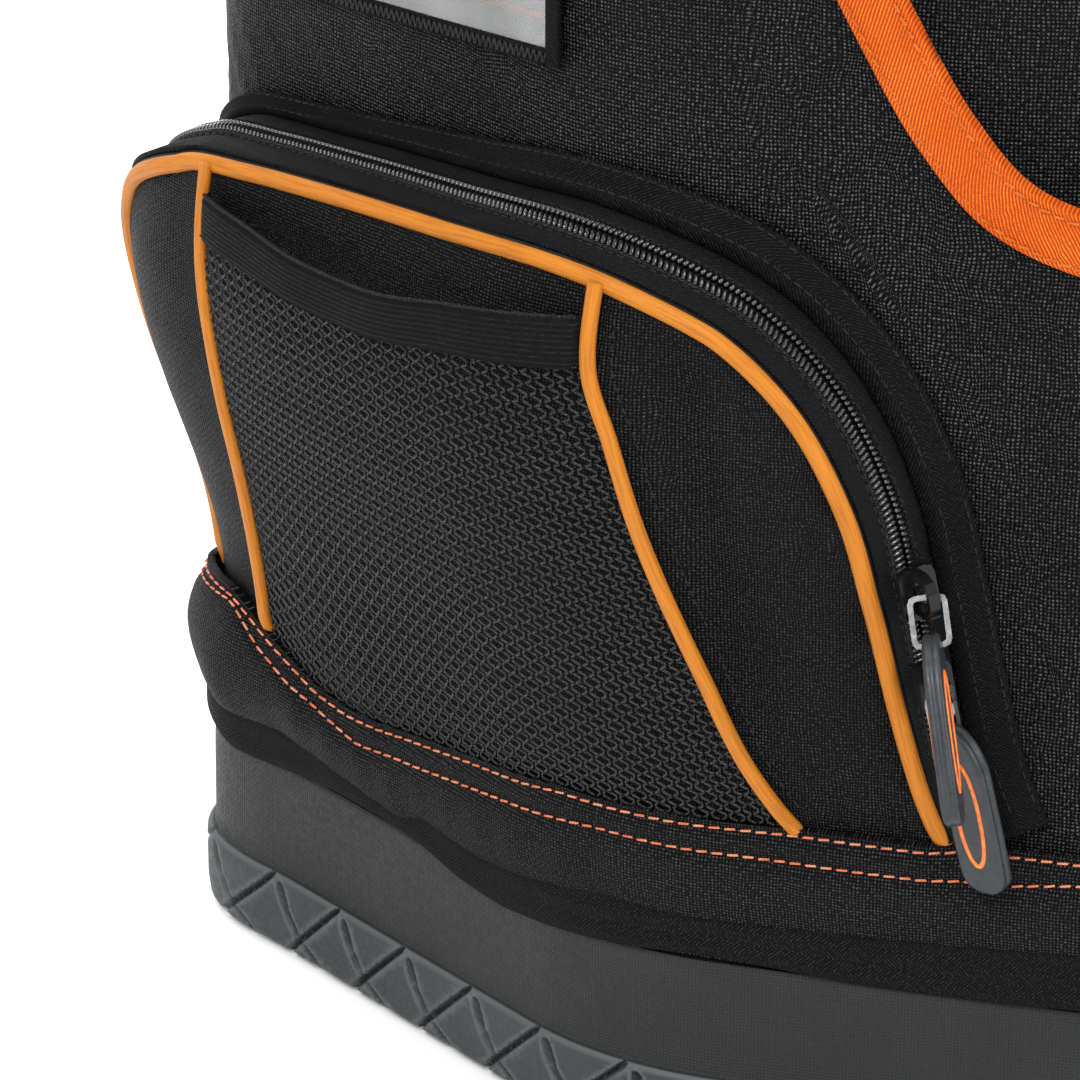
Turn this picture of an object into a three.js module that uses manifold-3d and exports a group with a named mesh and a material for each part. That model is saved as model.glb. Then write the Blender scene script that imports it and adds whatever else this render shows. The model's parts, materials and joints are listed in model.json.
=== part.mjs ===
// Tool backpack with a moulded rubber tray, zipped side pockets and a scooped front pocket.
// Millimetres, +Z up, the front faces -Y and the wearer's back is at +Y.

import * as THREE from 'three';
import { mergeVertices } from 'three/addons/utils/BufferGeometryUtils.js';
import Module from 'manifold-3d';

// Driving sizes
const BACK_FLAT = 142;
const BODY_HEIGHT = 450;
const BODY_DEPTH = 250;
const GAP = 0.5;
const TOUCH = 0.3;
const CLOTH = 2;
const BODY_WALL = 2.6;

// Plan of the bag from the middle of its back round to its front, one row for each stretch
const PLAN = [
  { run: BACK_FLAT },
  { radius: 33, turn: 90 },
  { run: 90.5 },
  { radius: 77, turn: 34 },
  { run: 71.5 },
  { radius: 55, turn: 56 },
];

// Narrowing of the body towards its top: height and inset as shares of the body height
const CROWN = [
  { up: 0, inset: 0 },
  { up: 0.66, inset: 0 },
  { up: 0.78, inset: 0.004 },
  { up: 0.86, inset: 0.015 },
  { up: 0.915, inset: 0.034 },
  { up: 0.955, inset: 0.062 },
  { up: 0.985, inset: 0.1 },
  { up: 1, inset: 0.15 },
];

// Heights of the bottom parts
const TRAY_TOP = 46;
const TREAD_TOP = 19;
const TAPE_TOP = 57;
const BAND_TOP = 82;

// Side pocket, measured along the wall from the start of the back corner
const POCKET_START = 28;
const POCKET_LENGTH = 208;
const POCKET_FOOT = BAND_TOP + GAP;
const POCKET_HEIGHT = 118;
const POCKET_REAR_DEPTH = 18.5;
const POCKET_FRONT_DEPTH = 6.5;
const POCKET_BULGE = 5;
const FLANGE_WIDTH = 9;
const PIPING_RADIUS = 1.6;

// Outline of the side pocket as shares of its length and height
const POCKET_OUTLINE = [
  { along: 0.01, up: 0 },
  { along: 0, up: 0.2 },
  { along: 0, up: 0.45 },
  { along: 0.002, up: 0.65 },
  { along: 0.03, up: 0.82 },
  { along: 0.09, up: 0.915 },
  { along: 0.2, up: 0.95 },
  { along: 0.36, up: 0.975 },
  { along: 0.5, up: 0.99 },
  { along: 0.62, up: 1 },
  { along: 0.7, up: 0.975 },
  { along: 0.78, up: 0.91 },
  { along: 0.85, up: 0.79 },
  { along: 0.9, up: 0.62 },
  { along: 0.925, up: 0.45 },
  { along: 0.95, up: 0.25 },
  { along: 0.975, up: 0.1 },
  { along: 1, up: 0 },
];

// Rear and front piping on the pocket's face, in the same shares
const REAR_PIPING = [
  { along: 0.165, up: 0.93 },
  { along: 0.165, up: 0.78 },
  { along: 0.175, up: 0.6 },
  { along: 0.17, up: 0.4 },
  { along: 0.155, up: 0.18 },
  { along: 0.14, up: 0.015 },
];
const FRONT_PIPING = [
  { along: 0.675, up: 0.965 },
  { along: 0.675, up: 0.84 },
  { along: 0.695, up: 0.72 },
  { along: 0.72, up: 0.54 },
  { along: 0.755, up: 0.34 },
  { along: 0.8, up: 0.15 },
  { along: 0.85, up: 0.015 },
];

// Middle line of the orange tape that binds the scooped edge of the front pocket
const SCOOP = [
  { along: 186, z: 352 },
  { along: 190, z: 325 },
  { along: 198, z: 297 },
  { along: 209, z: 271 },
  { along: 221, z: 248 },
  { along: 231, z: 232 },
  { along: 243, z: 219 },
  { along: 257, z: 213 },
  { along: 285, z: 210 },
  { along: 335, z: 209 },
];
const SCOOP_TAPE = 12;

const radians = THREE.MathUtils.degToRad;
const { lerp, clamp, smoothstep } = THREE.MathUtils;

const pack = new THREE.Group();
pack.name = 'tool_backpack';

const finish = {
  cordura: { color: 0x1d1f20, roughness: 0.85, metalness: 0 },
  twill: { color: 0x232628, roughness: 0.9, metalness: 0 },
  net: { color: 0x17191a, roughness: 0.8, metalness: 0 },
  orange: { color: 0xe9851f, roughness: 0.7, metalness: 0 },
  rubber: { color: 0x454a48, roughness: 0.75, metalness: 0 },
  zip: { color: 0x0d0e0f, roughness: 0.35, metalness: 0 },
  moulded: { color: 0x3a3d40, roughness: 0.5, metalness: 0 },
  steel: { color: 0xb9bcc0, roughness: 0.3, metalness: 1 },
  clear: { color: 0xa3a7a8, roughness: 0.15, metalness: 0 },
  card: { color: 0x8b8e8c, roughness: 0.6, metalness: 0 },
};

// A closed body from points and triangles, turned outward if its volume comes out negative
function solid(name, look, points, faces) {
  const volume = faces.reduce((sum, [a, b, c]) => {
    const cross = new THREE.Vector3().crossVectors(points[b], points[c]);
    return sum + points[a].dot(cross);
  }, 0);
  const geometry = new THREE.BufferGeometry().setFromPoints(points);
  const order = volume < 0 ? faces.map(([a, b, c]) => [a, c, b]) : faces;
  geometry.setIndex(order.flat());
  return addMesh(name, look, geometry);
}

function addMesh(name, look, geometry) {
  geometry.computeVertexNormals();
  const mesh = new THREE.Mesh(geometry, new THREE.MeshStandardMaterial(finish[look]));
  mesh.name = name;
  pack.add(mesh);
  return mesh;
}

// Rings of equal count joined one to the next; the ends are capped, or joined to each other
function loft(name, look, rings, { ringed = false } = {}) {
  const count = rings[0].length;
  const points = rings.flat();
  const faces = [];
  const last = ringed ? rings.length : rings.length - 1;
  for (let row = 0; row < last; row += 1) {
    const next = ((row + 1) % rings.length) * count;
    for (let i = 0; i < count; i += 1) {
      const j = (i + 1) % count;
      faces.push([row * count + i, row * count + j, next + j]);
      faces.push([row * count + i, next + j, next + i]);
    }
  }
  if (!ringed) {
    [0, rings.length - 1].forEach((row) => {
      const middle = new THREE.Vector3();
      rings[row].forEach((p) => middle.addScaledVector(p, 1 / count));
      const hub = points.push(middle) - 1;
      for (let i = 0; i < count; i += 1) {
        const side = [row * count + i, row * count + ((i + 1) % count)];
        faces.push(row === 0 ? [hub, side[1], side[0]] : [hub, side[0], side[1]]);
      }
    });
  }
  return solid(name, look, points, faces);
}

// A sheet with thickness: surface(u, v, lift) is given for lift 0 and lift thickness
function sheet(name, look, columns, rows, thickness, surface) {
  const points = [];
  const faces = [];
  const index = (side, i, j) => side * (columns + 1) * (rows + 1) + j * (columns + 1) + i;
  [0, thickness].forEach((lift) => {
    for (let j = 0; j <= rows; j += 1) {
      for (let i = 0; i <= columns; i += 1) {
        points.push(surface(i / columns, j / rows, lift));
      }
    }
  });
  const quad = (a, b, c, d) => faces.push([a, b, c], [a, c, d]);
  for (let j = 0; j < rows; j += 1) {
    for (let i = 0; i < columns; i += 1) {
      quad(index(0, i, j), index(0, i, j + 1), index(0, i + 1, j + 1), index(0, i + 1, j));
      quad(index(1, i, j), index(1, i + 1, j), index(1, i + 1, j + 1), index(1, i, j + 1));
    }
  }
  for (let i = 0; i < columns; i += 1) {
    quad(index(0, i, 0), index(0, i + 1, 0), index(1, i + 1, 0), index(1, i, 0));
    quad(index(0, i + 1, rows), index(0, i, rows), index(1, i, rows), index(1, i + 1, rows));
  }
  for (let j = 0; j < rows; j += 1) {
    quad(index(0, 0, j + 1), index(0, 0, j), index(1, 0, j), index(1, 0, j + 1));
    quad(index(0, columns, j), index(0, columns, j + 1), index(1, columns, j + 1), index(1, columns, j));
  }
  return solid(name, look, points, faces);
}

// Value of one column of a table at a place given in another column
function column(rows, key, place, value) {
  const next = rows.findIndex((row) => row[key] >= place);
  if (next < 0) return rows[rows.length - 1][value];
  if (next === 0) return rows[0][value];
  const [low, high] = [rows[next - 1], rows[next]];
  return lerp(low[value], high[value], (place - low[key]) / (high[key] - low[key]));
}

// Smooth curve through a table's rows in its first two columns, as (along, z) points
const curveThrough = (rows, across, upward) =>
  new THREE.CatmullRomCurve3(
    rows.map((row) => new THREE.Vector3(row[across], row[upward], 0)),
    false,
    'centripetal',
  );

// Point and outward direction of the plan, where along = 0 is the start of the back corner
function planAt(along) {
  let heading = Math.PI;
  let x = 0;
  let y = BODY_DEPTH / 2;
  let left = along + BACK_FLAT;
  for (const { run = 0, radius = 0, turn = 0 } of PLAN) {
    const length = run || radius * radians(turn);
    const step = run === BACK_FLAT ? Math.min(left, length) : clamp(left, 0, length);
    if (run) {
      x += step * Math.cos(heading);
      y += step * Math.sin(heading);
    } else {
      const bend = step / radius;
      x += radius * (Math.sin(heading + bend) - Math.sin(heading));
      y -= radius * (Math.cos(heading + bend) - Math.cos(heading));
      heading += bend;
    }
    left -= step;
  }
  x += left * Math.cos(heading);
  y += left * Math.sin(heading);
  return { x, y, nx: Math.sin(heading), ny: -Math.cos(heading) };
}

// Length of the wall from along = 0 to the middle of the front
const TURNED = PLAN.reduce((sum, { run, radius, turn }) => sum + (run ?? radius * radians(turn)), 0);
const FRONT_START = TURNED - BACK_FLAT;
const FRONT_MIDDLE = FRONT_START - planAt(FRONT_START).x;

const HALF_WIDTH = BACK_FLAT + PLAN[1].radius;
const insetAt = (z) => BODY_HEIGHT * column(CROWN, 'up', clamp(z / BODY_HEIGHT, 0, 1), 'inset');

// Point on the wall, lifted outward; side is 1 for the wearer's left, at -X, and -1 for the right
function wall(along, z, out = 0, side = 1) {
  const { x, y, nx, ny } = planAt(along);
  const inset = insetAt(z);
  const px = x * (1 - inset / HALF_WIDTH) + nx * out;
  const py = y * (1 - (2 * inset) / BODY_DEPTH) + ny * out;
  return new THREE.Vector3(side * px, py, z);
}

// Stations along one half of the wall: each arc in steps of a small rise, each straight by its ends
const ARC_RISE = 0.2;
const STATIONS = (() => {
  const list = [-BACK_FLAT];
  PLAN.forEach(({ run, radius, turn }) => {
    const start = list[list.length - 1];
    const length = run ?? radius * radians(turn);
    const steps = run ? 1 : Math.ceil(radians(turn) / (2 * Math.acos(1 - ARC_RISE / radius)));
    for (let k = 1; k <= steps; k += 1) list.push(start + (length * k) / steps);
  });
  list.push(FRONT_MIDDLE);
  return list;
})();

// A full turn round the bag at one height, mirrored about the middle
function ring(z, out, stations = STATIONS) {
  const offset = typeof out === 'function' ? out : () => out;
  const half = stations.map((s) => wall(s, z, offset(s)));
  const other = stations.slice(1, -1).reverse().map((s) => wall(s, z, offset(s), -1));
  return [...half, ...other];
}

// The body is drawn in behind the front pocket, which leaves that pocket its room
const FRONT_ROOM = 14;
const roomAt = (s) => FRONT_ROOM * smoothstep(s, 225, 300);
const bodyFace = (s) => -CLOTH - GAP - roomAt(s);

function mainBody() {
  const heights = CROWN.slice(1).map(({ up }) => up * BODY_HEIGHT);
  const foot = TRAY_WALL + GAP;
  const outer = [foot, ...heights].map((z) => ring(z, bodyFace));
  const inside = (s) => bodyFace(s) - BODY_WALL;
  const inner = [foot, heights[0], heights[2], heights[4]].map((z) => ring(z, inside));
  const roof = ring(BODY_HEIGHT, inside);
  roof.forEach((p) => p.setZ(BODY_HEIGHT - BODY_WALL));
  loft('main_body', 'cordura', [roof, ...inner.reverse(), ...outer]);
}

// The tray: rubber cup under the bag, its tread raised round the sides and front
const TRAY_WALL = 3;
const TRAY_RIM = 1;
const TREAD_PITCH = 22.8;
const TREAD_LIFT = 3.2;
const GROOVE_DEPTH = 1.8;
const GROOVE_HALF = 0.8;

// Rows of the tread from its foot up. In each unit a steep groove falls to the foot and a thin
// one rises through it: their places as shares of the pitch, and how deep they are there
const TREAD_ROWS = [
  {
    up: 0.08,
    out: TREAD_LIFT - 0.8,
    grooves: [{ at: 0.06, deep: GROOVE_DEPTH }, { at: 0.9, deep: GROOVE_DEPTH }],
  },
  {
    up: 0.36,
    out: TREAD_LIFT,
    grooves: [{ at: 0.3, deep: GROOVE_DEPTH }, { at: 0.7, deep: 0 }],
  },
  {
    up: 0.97,
    out: TREAD_LIFT - 0.8,
    grooves: [{ at: 0.04, deep: GROOVE_DEPTH }, { at: 0.86, deep: GROOVE_DEPTH }],
  },
];

function treadRing({ up, out, grooves }) {
  const girth = 2 * (FRONT_MIDDLE + BACK_FLAT);
  const units = Math.round(girth / TREAD_PITCH);
  const pitch = girth / units;
  const points = [];
  for (let unit = 0; unit < units; unit += 1) {
    grooves.forEach(({ at, deep }) => {
      [-GROOVE_HALF, 0, GROOVE_HALF].forEach((shift) => {
        const s = (unit + at) * pitch + shift;
        const mirrored = s > girth / 2;
        const along = (mirrored ? girth - s : s) - BACK_FLAT;
        const sunk = shift === 0 ? deep : 0;
        points.push(wall(along, up * TREAD_TOP, out - sunk, mirrored ? -1 : 1));
      });
    });
  }
  return points;
}

function baseTray() {
  const foot = ring(0, -1);
  const shoulder = ring(TREAD_TOP, 1);
  const rim = [ring(TRAY_TOP, TRAY_RIM), ring(TRAY_TOP, TRAY_RIM - TRAY_WALL)];
  const inside = ring(TRAY_WALL, TRAY_RIM - TRAY_WALL);
  trayFrom([foot, ...TREAD_ROWS.map(treadRing), shoulder, ...rim, inside]);
}

// Rings of unlike counts joined in turn, the first and last closed by a floor
function trayFrom(rings) {
  const points = [];
  const faces = [];
  const starts = rings.map((row) => {
    const start = points.length;
    points.push(...row);
    return { start, count: row.length };
  });
  for (let k = 1; k < starts.length; k += 1) joinRings(points, faces, starts[k - 1], starts[k]);
  const floor = (rim, level, flip) => {
    const hub = points.push(new THREE.Vector3(0, 0, level)) - 1;
    for (let i = 0; i < rim.count; i += 1) {
      const side = [rim.start + i, rim.start + ((i + 1) % rim.count)];
      faces.push(flip ? [hub, side[1], side[0]] : [hub, side[0], side[1]]);
    }
  };
  floor(starts[0], 0, true);
  floor(starts[starts.length - 1], TRAY_WALL, false);
  solid('base_tray', 'rubber', points, faces);
}

// Triangles between two rings of different counts, both starting at the back's middle
function joinRings(points, faces, low, high) {
  const girthShare = (ring_) => {
    const sums = [0];
    for (let i = 1; i <= ring_.count; i += 1) {
      const a = points[ring_.start + i - 1];
      const b = points[ring_.start + (i % ring_.count)];
      sums.push(sums[i - 1] + Math.hypot(a.x - b.x, a.y - b.y));
    }
    return sums.map((value) => value / sums[ring_.count]);
  };
  const [shareLow, shareHigh] = [girthShare(low), girthShare(high)];
  let i = 0;
  let j = 0;
  while (i < low.count || j < high.count) {
    const a = low.start + (i % low.count);
    const b = high.start + (j % high.count);
    const same = low.count === high.count;
    const behind = same ? i <= j : shareLow[i + 1] <= shareHigh[j + 1];
    const stepLow = j >= high.count || (i < low.count && behind);
    if (stepLow) {
      faces.push([a, low.start + ((i + 1) % low.count), b]);
      i += 1;
    } else {
      faces.push([a, high.start + ((j + 1) % high.count), b]);
      j += 1;
    }
  }
}

// A closed band round the whole bag: rows of height and lift, with one thickness
function band(name, look, rows, thickness) {
  const outer = rows.map(({ z, out }) => ring(z, out + thickness));
  const inner = rows.map(({ z, out }) => ring(z, out)).reverse();
  loft(name, look, [...outer, ...inner], { ringed: true });
}

function bottomBands() {
  const tapeRows = [{ z: TRAY_TOP + TOUCH, out: GAP }, { z: TAPE_TOP, out: GAP }];
  band('tray_binding', 'twill', tapeRows, 1.2);
  const puff = (share) => GAP + 2.4 * Math.sin(Math.PI * share);
  const skirtRows = [0, 0.3, 0.7, 1].map((share) => ({
    z: lerp(TAPE_TOP + TOUCH, BAND_TOP, share),
    out: puff(share),
  }));
  band('lower_band', 'cordura', skirtRows, CLOTH);
}

const scoopCurve = curveThrough(SCOOP, 'along', 'z');

// Outer cloth of both sides and the front, cut down to the scooped edge of the front pocket
function outerPanel() {
  const scooped = Array.from({ length: 200 }, (_, k) => {
    const p = scoopCurve.getPoint(k / 199);
    const t = scoopCurve.getTangent(k / 199);
    return { along: p.x - t.y * SCOOP_TAPE * 0.4, z: p.y + t.x * SCOOP_TAPE * 0.4 };
  });
  const extra = [193, 198, 204, 211, 218, 224, 230, 237, 246];
  const stations = [...STATIONS, ...extra].filter((s) => s > 5).sort((a, b) => a - b);
  const edge = stations.map((along) => ({ along, z: column(scooped, 'along', along, 'z') }));
  const columns = 2 * (edge.length - 1);
  const straight = CROWN[1].up * BODY_HEIGHT;
  sheet('outer_panel', 'cordura', columns, 3, CLOTH, (u, v, lift) => {
    const k = Math.round(u * columns);
    const mirrored = k >= edge.length;
    const { along, z } = edge[mirrored ? columns - k : k];
    const foot = TRAY_TOP + TOUCH;
    const rows = [foot, lerp(foot, z, 0.5), Math.min(straight, lerp(foot, z, 0.85)), z];
    return wall(along, rows[Math.round(v * 3)], lift - CLOTH, mirrored ? -1 : 1);
  });
}

function scoopBinding() {
  const half = 26;
  sheet('scoop_binding', 'orange', 2 * half, 1, 1.1, (u, v, lift) => {
    const k = Math.round(u * 2 * half);
    const mirrored = k > half;
    const share = (mirrored ? 2 * half - k : k) / half;
    const end = SCOOP[SCOOP.length - 1];
    const reach = share * 1.25;
    const p = reach <= 1 ? scoopCurve.getPointAt(reach) : new THREE.Vector3(end.along, end.z, 0);
    const t = reach <= 1 ? scoopCurve.getTangentAt(reach) : new THREE.Vector3(1, 0, 0);
    if (reach > 1) p.x = lerp(end.along, FRONT_MIDDLE, (reach - 1) / 0.25);
    const shift = (v - 0.5) * SCOOP_TAPE;
    return wall(p.x - t.y * shift, p.y + t.x * shift, GAP + lift, mirrored ? -1 : 1);
  });
}

// Side pocket
const pocketPoint = ({ along, up }) => ({
  s: POCKET_START + along * POCKET_LENGTH,
  z: POCKET_FOOT + up * POCKET_HEIGHT,
});
const pocketCurve = (rows) => curveThrough(rows.map(pocketPoint), 's', 'z');
const outlineCurve = pocketCurve(POCKET_OUTLINE);
const rearCurve = pocketCurve(REAR_PIPING);
const frontCurve = pocketCurve(FRONT_PIPING);

// How far the pocket's face stands off the wall
function standOff(s, z) {
  const along = (s - POCKET_START) / POCKET_LENGTH;
  const up = (z - POCKET_FOOT) / POCKET_HEIGHT;
  const depth = lerp(POCKET_REAR_DEPTH, POCKET_FRONT_DEPTH, clamp(along, 0, 1));
  const rise = Math.sin((Math.PI / 2) * clamp(up / 0.72, 0, 1)) ** 1.9;
  const bulge = Math.max(0, 1 - (2 * along - 1) ** 2) * Math.max(0, 1 - (2 * up - 1) ** 4);
  return 1.1 + depth * rise + POCKET_BULGE * bulge;
}

// Point on the outline at share t, moved by shift along its outward direction
function outlineAt(t, shift) {
  const p = outlineCurve.getPointAt(t);
  const q = outlineCurve.getTangentAt(t);
  return { s: p.x - q.y * shift, z: Math.max(p.y + q.x * shift, POCKET_FOOT), p };
}

// The gusset runs from its foot on the wall, share 0, to the outer piping, share 1
const gussetRun = (t) => lerp(2.5, 9, smoothstep(t, 0.35, 0.8));
const PIPING_ROOM = PIPING_RADIUS + 2 * TOUCH;

function gussetBase(t, w, side) {
  const run = lerp(PIPING_ROOM + gussetRun(t), PIPING_ROOM, w);
  const { s, z, p } = outlineAt(t, run);
  const top = standOff(p.x, p.y) + 0.7;
  return wall(s, z, lerp(0.9, Math.max(top, 1), w), side);
}

function gussetPoint(t, w, lift, side) {
  const e = 0.004;
  const [t0, t1] = [clamp(t - e, 0, 1), clamp(t + e, 0, 1)];
  const along = gussetBase(t1, w, side).sub(gussetBase(t0, w, side));
  const across = gussetBase(t, 1, side).sub(gussetBase(t, 0, side));
  const normal = across.cross(along).normalize().multiplyScalar(side);
  return gussetBase(t, w, side).addScaledVector(normal, lift);
}

const facePoint = (s, z, lift, side) => wall(s, z, standOff(s, z) + lift, side);

// Four boundary curves in (s, z) filled in as a Coons patch
function patch(bottom, top, left, right) {
  return (u, v) => {
    const mix = (a, b, k) => new THREE.Vector3().lerpVectors(a, b, k);
    const rows = mix(bottom(u), top(u), v);
    const columns = mix(left(v), right(v), u);
    const low = mix(bottom(0), bottom(1), u);
    const high = mix(top(0), top(1), u);
    return rows.add(columns).sub(mix(low, high, v));
  };
}

// Tube of a given section along a path, the section's first axis pointing off the surface
function tubeAlong(name, look, path, section) {
  const rings = path.map(({ point, normal }, k) => {
    const next = path[Math.min(k + 1, path.length - 1)].point;
    const last = path[Math.max(k - 1, 0)].point;
    const tangent = next.clone().sub(last).normalize();
    const across = tangent.clone().cross(normal).normalize();
    const off = across.clone().cross(tangent).normalize();
    return section.map(([a, b]) => point.clone().addScaledVector(off, a).addScaledVector(across, b));
  });
  return loft(name, look, rings);
}

const roundSection = (radius, count = 5) =>
  Array.from({ length: count }, (_, i) => {
    const angle = (i / count) * 2 * Math.PI;
    return [radius * Math.cos(angle), radius * Math.sin(angle)];
  });
const flatSection = (high, wide) => [
  [high / 2, wide / 2 - high / 4],
  [high / 2, high / 4 - wide / 2],
  [-high / 2, -wide / 2],
  [-high / 2, wide / 2],
];

const CHAIN_HIGH = 1.6;
const CHAIN_WIDE = 4.4;
const CHAIN_LIFT = 1.2 + 0.8 + CHAIN_HIGH / 2;
const FACE_CLOTH = 1.5;
const MESH_ROOM = 7.6;
const MESH_CLOTH = 1.2;

function sidePocket(label, side) {
  const outwards = (s) => {
    const { nx, ny } = planAt(s);
    return new THREE.Vector3(side * nx, ny, 0);
  };
  const vector = (s, z) => new THREE.Vector3(s, z, 0);

  // Face cloth inside the outer piping
  const inside = (t) => {
    const { s, z } = outlineAt(t, -PIPING_ROOM);
    return vector(s, z);
  };
  const CORNERS = [0.28, 0.62];
  const facePatch = patch(
    (u) => inside(0).lerp(inside(1), u),
    (u) => inside(lerp(CORNERS[0], CORNERS[1], u)),
    (v) => inside(lerp(0, CORNERS[0], v)),
    (v) => inside(lerp(1, CORNERS[1], v)),
  );
  sheet(`pocket_panel_${label}`, 'cordura', 12, 7, FACE_CLOTH, (u, v, lift) => {
    const q = facePatch(u, v);
    return facePoint(q.x, q.y, lift, side);
  });

  // Gusset, the zip chain that runs on it, and the flat tape round its foot
  sheet(`pocket_gusset_${label}`, 'twill', 42, 1, 1.2, (u, v, lift) => gussetPoint(u, v, lift, side));
  const chain = Array.from({ length: 31 }, (_, i) => {
    const t = lerp(0.02, 0.95, i / 30);
    const point = gussetPoint(t, 0.5, CHAIN_LIFT, side);
    const normal = point.clone().sub(gussetPoint(t, 0.5, 0, side)).normalize();
    return { point, normal };
  });
  tubeAlong(`zip_chain_${label}`, 'zip', chain, flatSection(CHAIN_HIGH, CHAIN_WIDE));
  sheet(`pocket_flange_${label}`, 'twill', 42, 1, 1.2, (u, v, lift) => {
    const start = PIPING_ROOM + gussetRun(u) + 1.8;
    const { s, z } = outlineAt(u, start + v * FLANGE_WIDTH);
    return wall(s, z, 0.6 + lift, side);
  });

  // Orange pipings
  const onFace = (curve, lift, from, to, steps) =>
    Array.from({ length: steps + 1 }, (_, i) => {
      const p = curve.getPointAt(lerp(from, to, i / steps));
      return { point: facePoint(p.x, p.y, lift, side), normal: outwards(p.x) };
    });
  tubeAlong(`piping_outer_${label}`, 'orange', onFace(outlineCurve, 1, 0.005, 0.995, 36),
    roundSection(PIPING_RADIUS));
  const seamLift = FACE_CLOTH + TOUCH + PIPING_RADIUS;
  tubeAlong(`piping_rear_${label}`, 'orange', onFace(rearCurve, seamLift, 0.04, 0.98, 12),
    roundSection(PIPING_RADIUS));
  tubeAlong(`piping_front_${label}`, 'orange', onFace(frontCurve, seamLift, 0.04, 0.98, 12),
    roundSection(PIPING_RADIUS));

  // Net panel between the two pipings, held off the face at its top, and its hem
  const seam = (curve, shift) => (v) => {
    const p = curve.getPointAt(1 - v);
    const q = curve.getTangentAt(1 - v);
    return vector(p.x - q.y * shift, p.y + q.x * shift);
  };
  const seamRoom = PIPING_RADIUS + TOUCH;
  const [rear, front] = [seam(rearCurve, seamRoom), seam(frontCurve, -seamRoom)];
  const netLift = (u, v) => {
    const arch = Math.sin(Math.PI * clamp(u, 0.02, 0.98)) ** 0.5;
    return FACE_CLOTH + TOUCH + MESH_ROOM * arch * v ** 0.8;
  };
  const HEM_FOOT = 0.86;
  const netPoint = (u, v, lift) => {
    const foot = rear(v).lerp(front(v), u);
    const sag = 5 * Math.sin(Math.PI * u) ** 2 * v ** 2;
    return facePoint(foot.x, foot.y - sag, netLift(u, v) + lift, side);
  };
  sheet(`mesh_panel_${label}`, 'net', 10, 6, MESH_CLOTH, (u, v, lift) =>
    netPoint(u, v * (HEM_FOOT - 0.004), lift));
  sheet(`mesh_hem_${label}`, 'twill', 10, 1, 2, (u, v, lift) =>
    netPoint(u, lerp(HEM_FOOT, 0.945, v), lift));
}

// Two geometries joined in one closed body
const wasm = await Module();
wasm.setup();
function joined(first, second) {
  const [a, b] = [first, second].map((geometry) => {
    const plain = geometry.clone();
    plain.deleteAttribute('normal');
    plain.deleteAttribute('uv');
    const whole = mergeVertices(plain, 1e-4);
    return new wasm.Manifold(new wasm.Mesh({
      numProp: 3,
      vertProperties: whole.attributes.position.array,
      triVerts: new Uint32Array(whole.index.array),
    }));
  });
  const { vertProperties, triVerts } = a.add(b).getMesh();
  const geometry = new THREE.BufferGeometry();
  geometry.setAttribute('position', new THREE.BufferAttribute(vertProperties, 3));
  geometry.setIndex(new THREE.BufferAttribute(triVerts, 1));
  return geometry;
}

// A shape pushed out evenly to both sides of its own plane
function slab(shape, depth, curveSegments = 4) {
  const geometry = new THREE.ExtrudeGeometry(shape, { depth, bevelEnabled: false, curveSegments });
  return geometry.translate(0, 0, -depth / 2);
}

function roundedRectangle(wide, high, radius, path = new THREE.Shape()) {
  const [x, y] = [wide / 2, high / 2];
  path.moveTo(-x + radius, -y);
  path.lineTo(x - radius, -y);
  path.absarc(x - radius, -y + radius, radius, -Math.PI / 2, 0);
  path.lineTo(x, y - radius);
  path.absarc(x - radius, y - radius, radius, 0, Math.PI / 2);
  path.lineTo(-x + radius, y);
  path.absarc(-x + radius, y - radius, radius, Math.PI / 2, Math.PI);
  path.lineTo(-x, -y + radius);
  path.absarc(-x + radius, -y + radius, radius, Math.PI, 1.5 * Math.PI);
  return path;
}

// A frame whose x axis runs down the chain and whose y axis points off the cloth
function frameOf(origin, down, off) {
  const x = down.clone().normalize();
  const y = off.clone().addScaledVector(x, -off.dot(x)).normalize();
  return new THREE.Matrix4().makeBasis(x, y, x.clone().cross(y)).setPosition(origin);
}

function placed(name, look, geometry, frame) {
  const mesh = addMesh(name, look, geometry);
  mesh.applyMatrix4(frame);
  return mesh;
}

// Zip slider, its wire link and its moulded pull
const SLIDER_LENGTH = 11;
const SLIDER_WIDTH = 8;
const SLIDER_PLATE = 1.8;
const BRIDGE_WIDTH = 2.2;
const BRIDGE_HEIGHT = 7.8;
const HINGE_HEIGHT = 4.6;
const WIRE = 1.1;
const LINK_LENGTH = 9.5;
const LINK_ROOM = 5.8;
const PULL_LENGTH = 38;
const PULL_WIDTH = 10.5;
const PULL_THICK = 3.6;
const PULL_EYE = 2.4;

function sliderGeometry() {
  const plate = slab(roundedRectangle(SLIDER_LENGTH, SLIDER_WIDTH, 2), SLIDER_PLATE, 1);
  plate.rotateX(Math.PI / 2).translate(0, SLIDER_PLATE / 2, 0);
  const arch = new THREE.Shape();
  const foot = SLIDER_PLATE - 0.4;
  arch.moveTo(-4.8, foot);
  arch.lineTo(4.8, foot);
  arch.lineTo(4.8, 4.6);
  arch.quadraticCurveTo(4.4, BRIDGE_HEIGHT, 1.6, BRIDGE_HEIGHT);
  arch.lineTo(-1.6, BRIDGE_HEIGHT);
  arch.quadraticCurveTo(-4.4, BRIDGE_HEIGHT, -4.8, 4.6);
  const hole = roundedRectangle(6.4, 4.2, 1, new THREE.Path());
  arch.holes.push(new THREE.Path(hole.getPoints(1).map((p) => p.add(new THREE.Vector2(0, HINGE_HEIGHT)))));
  return joined(plate, slab(arch, BRIDGE_WIDTH, 2));
}

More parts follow.
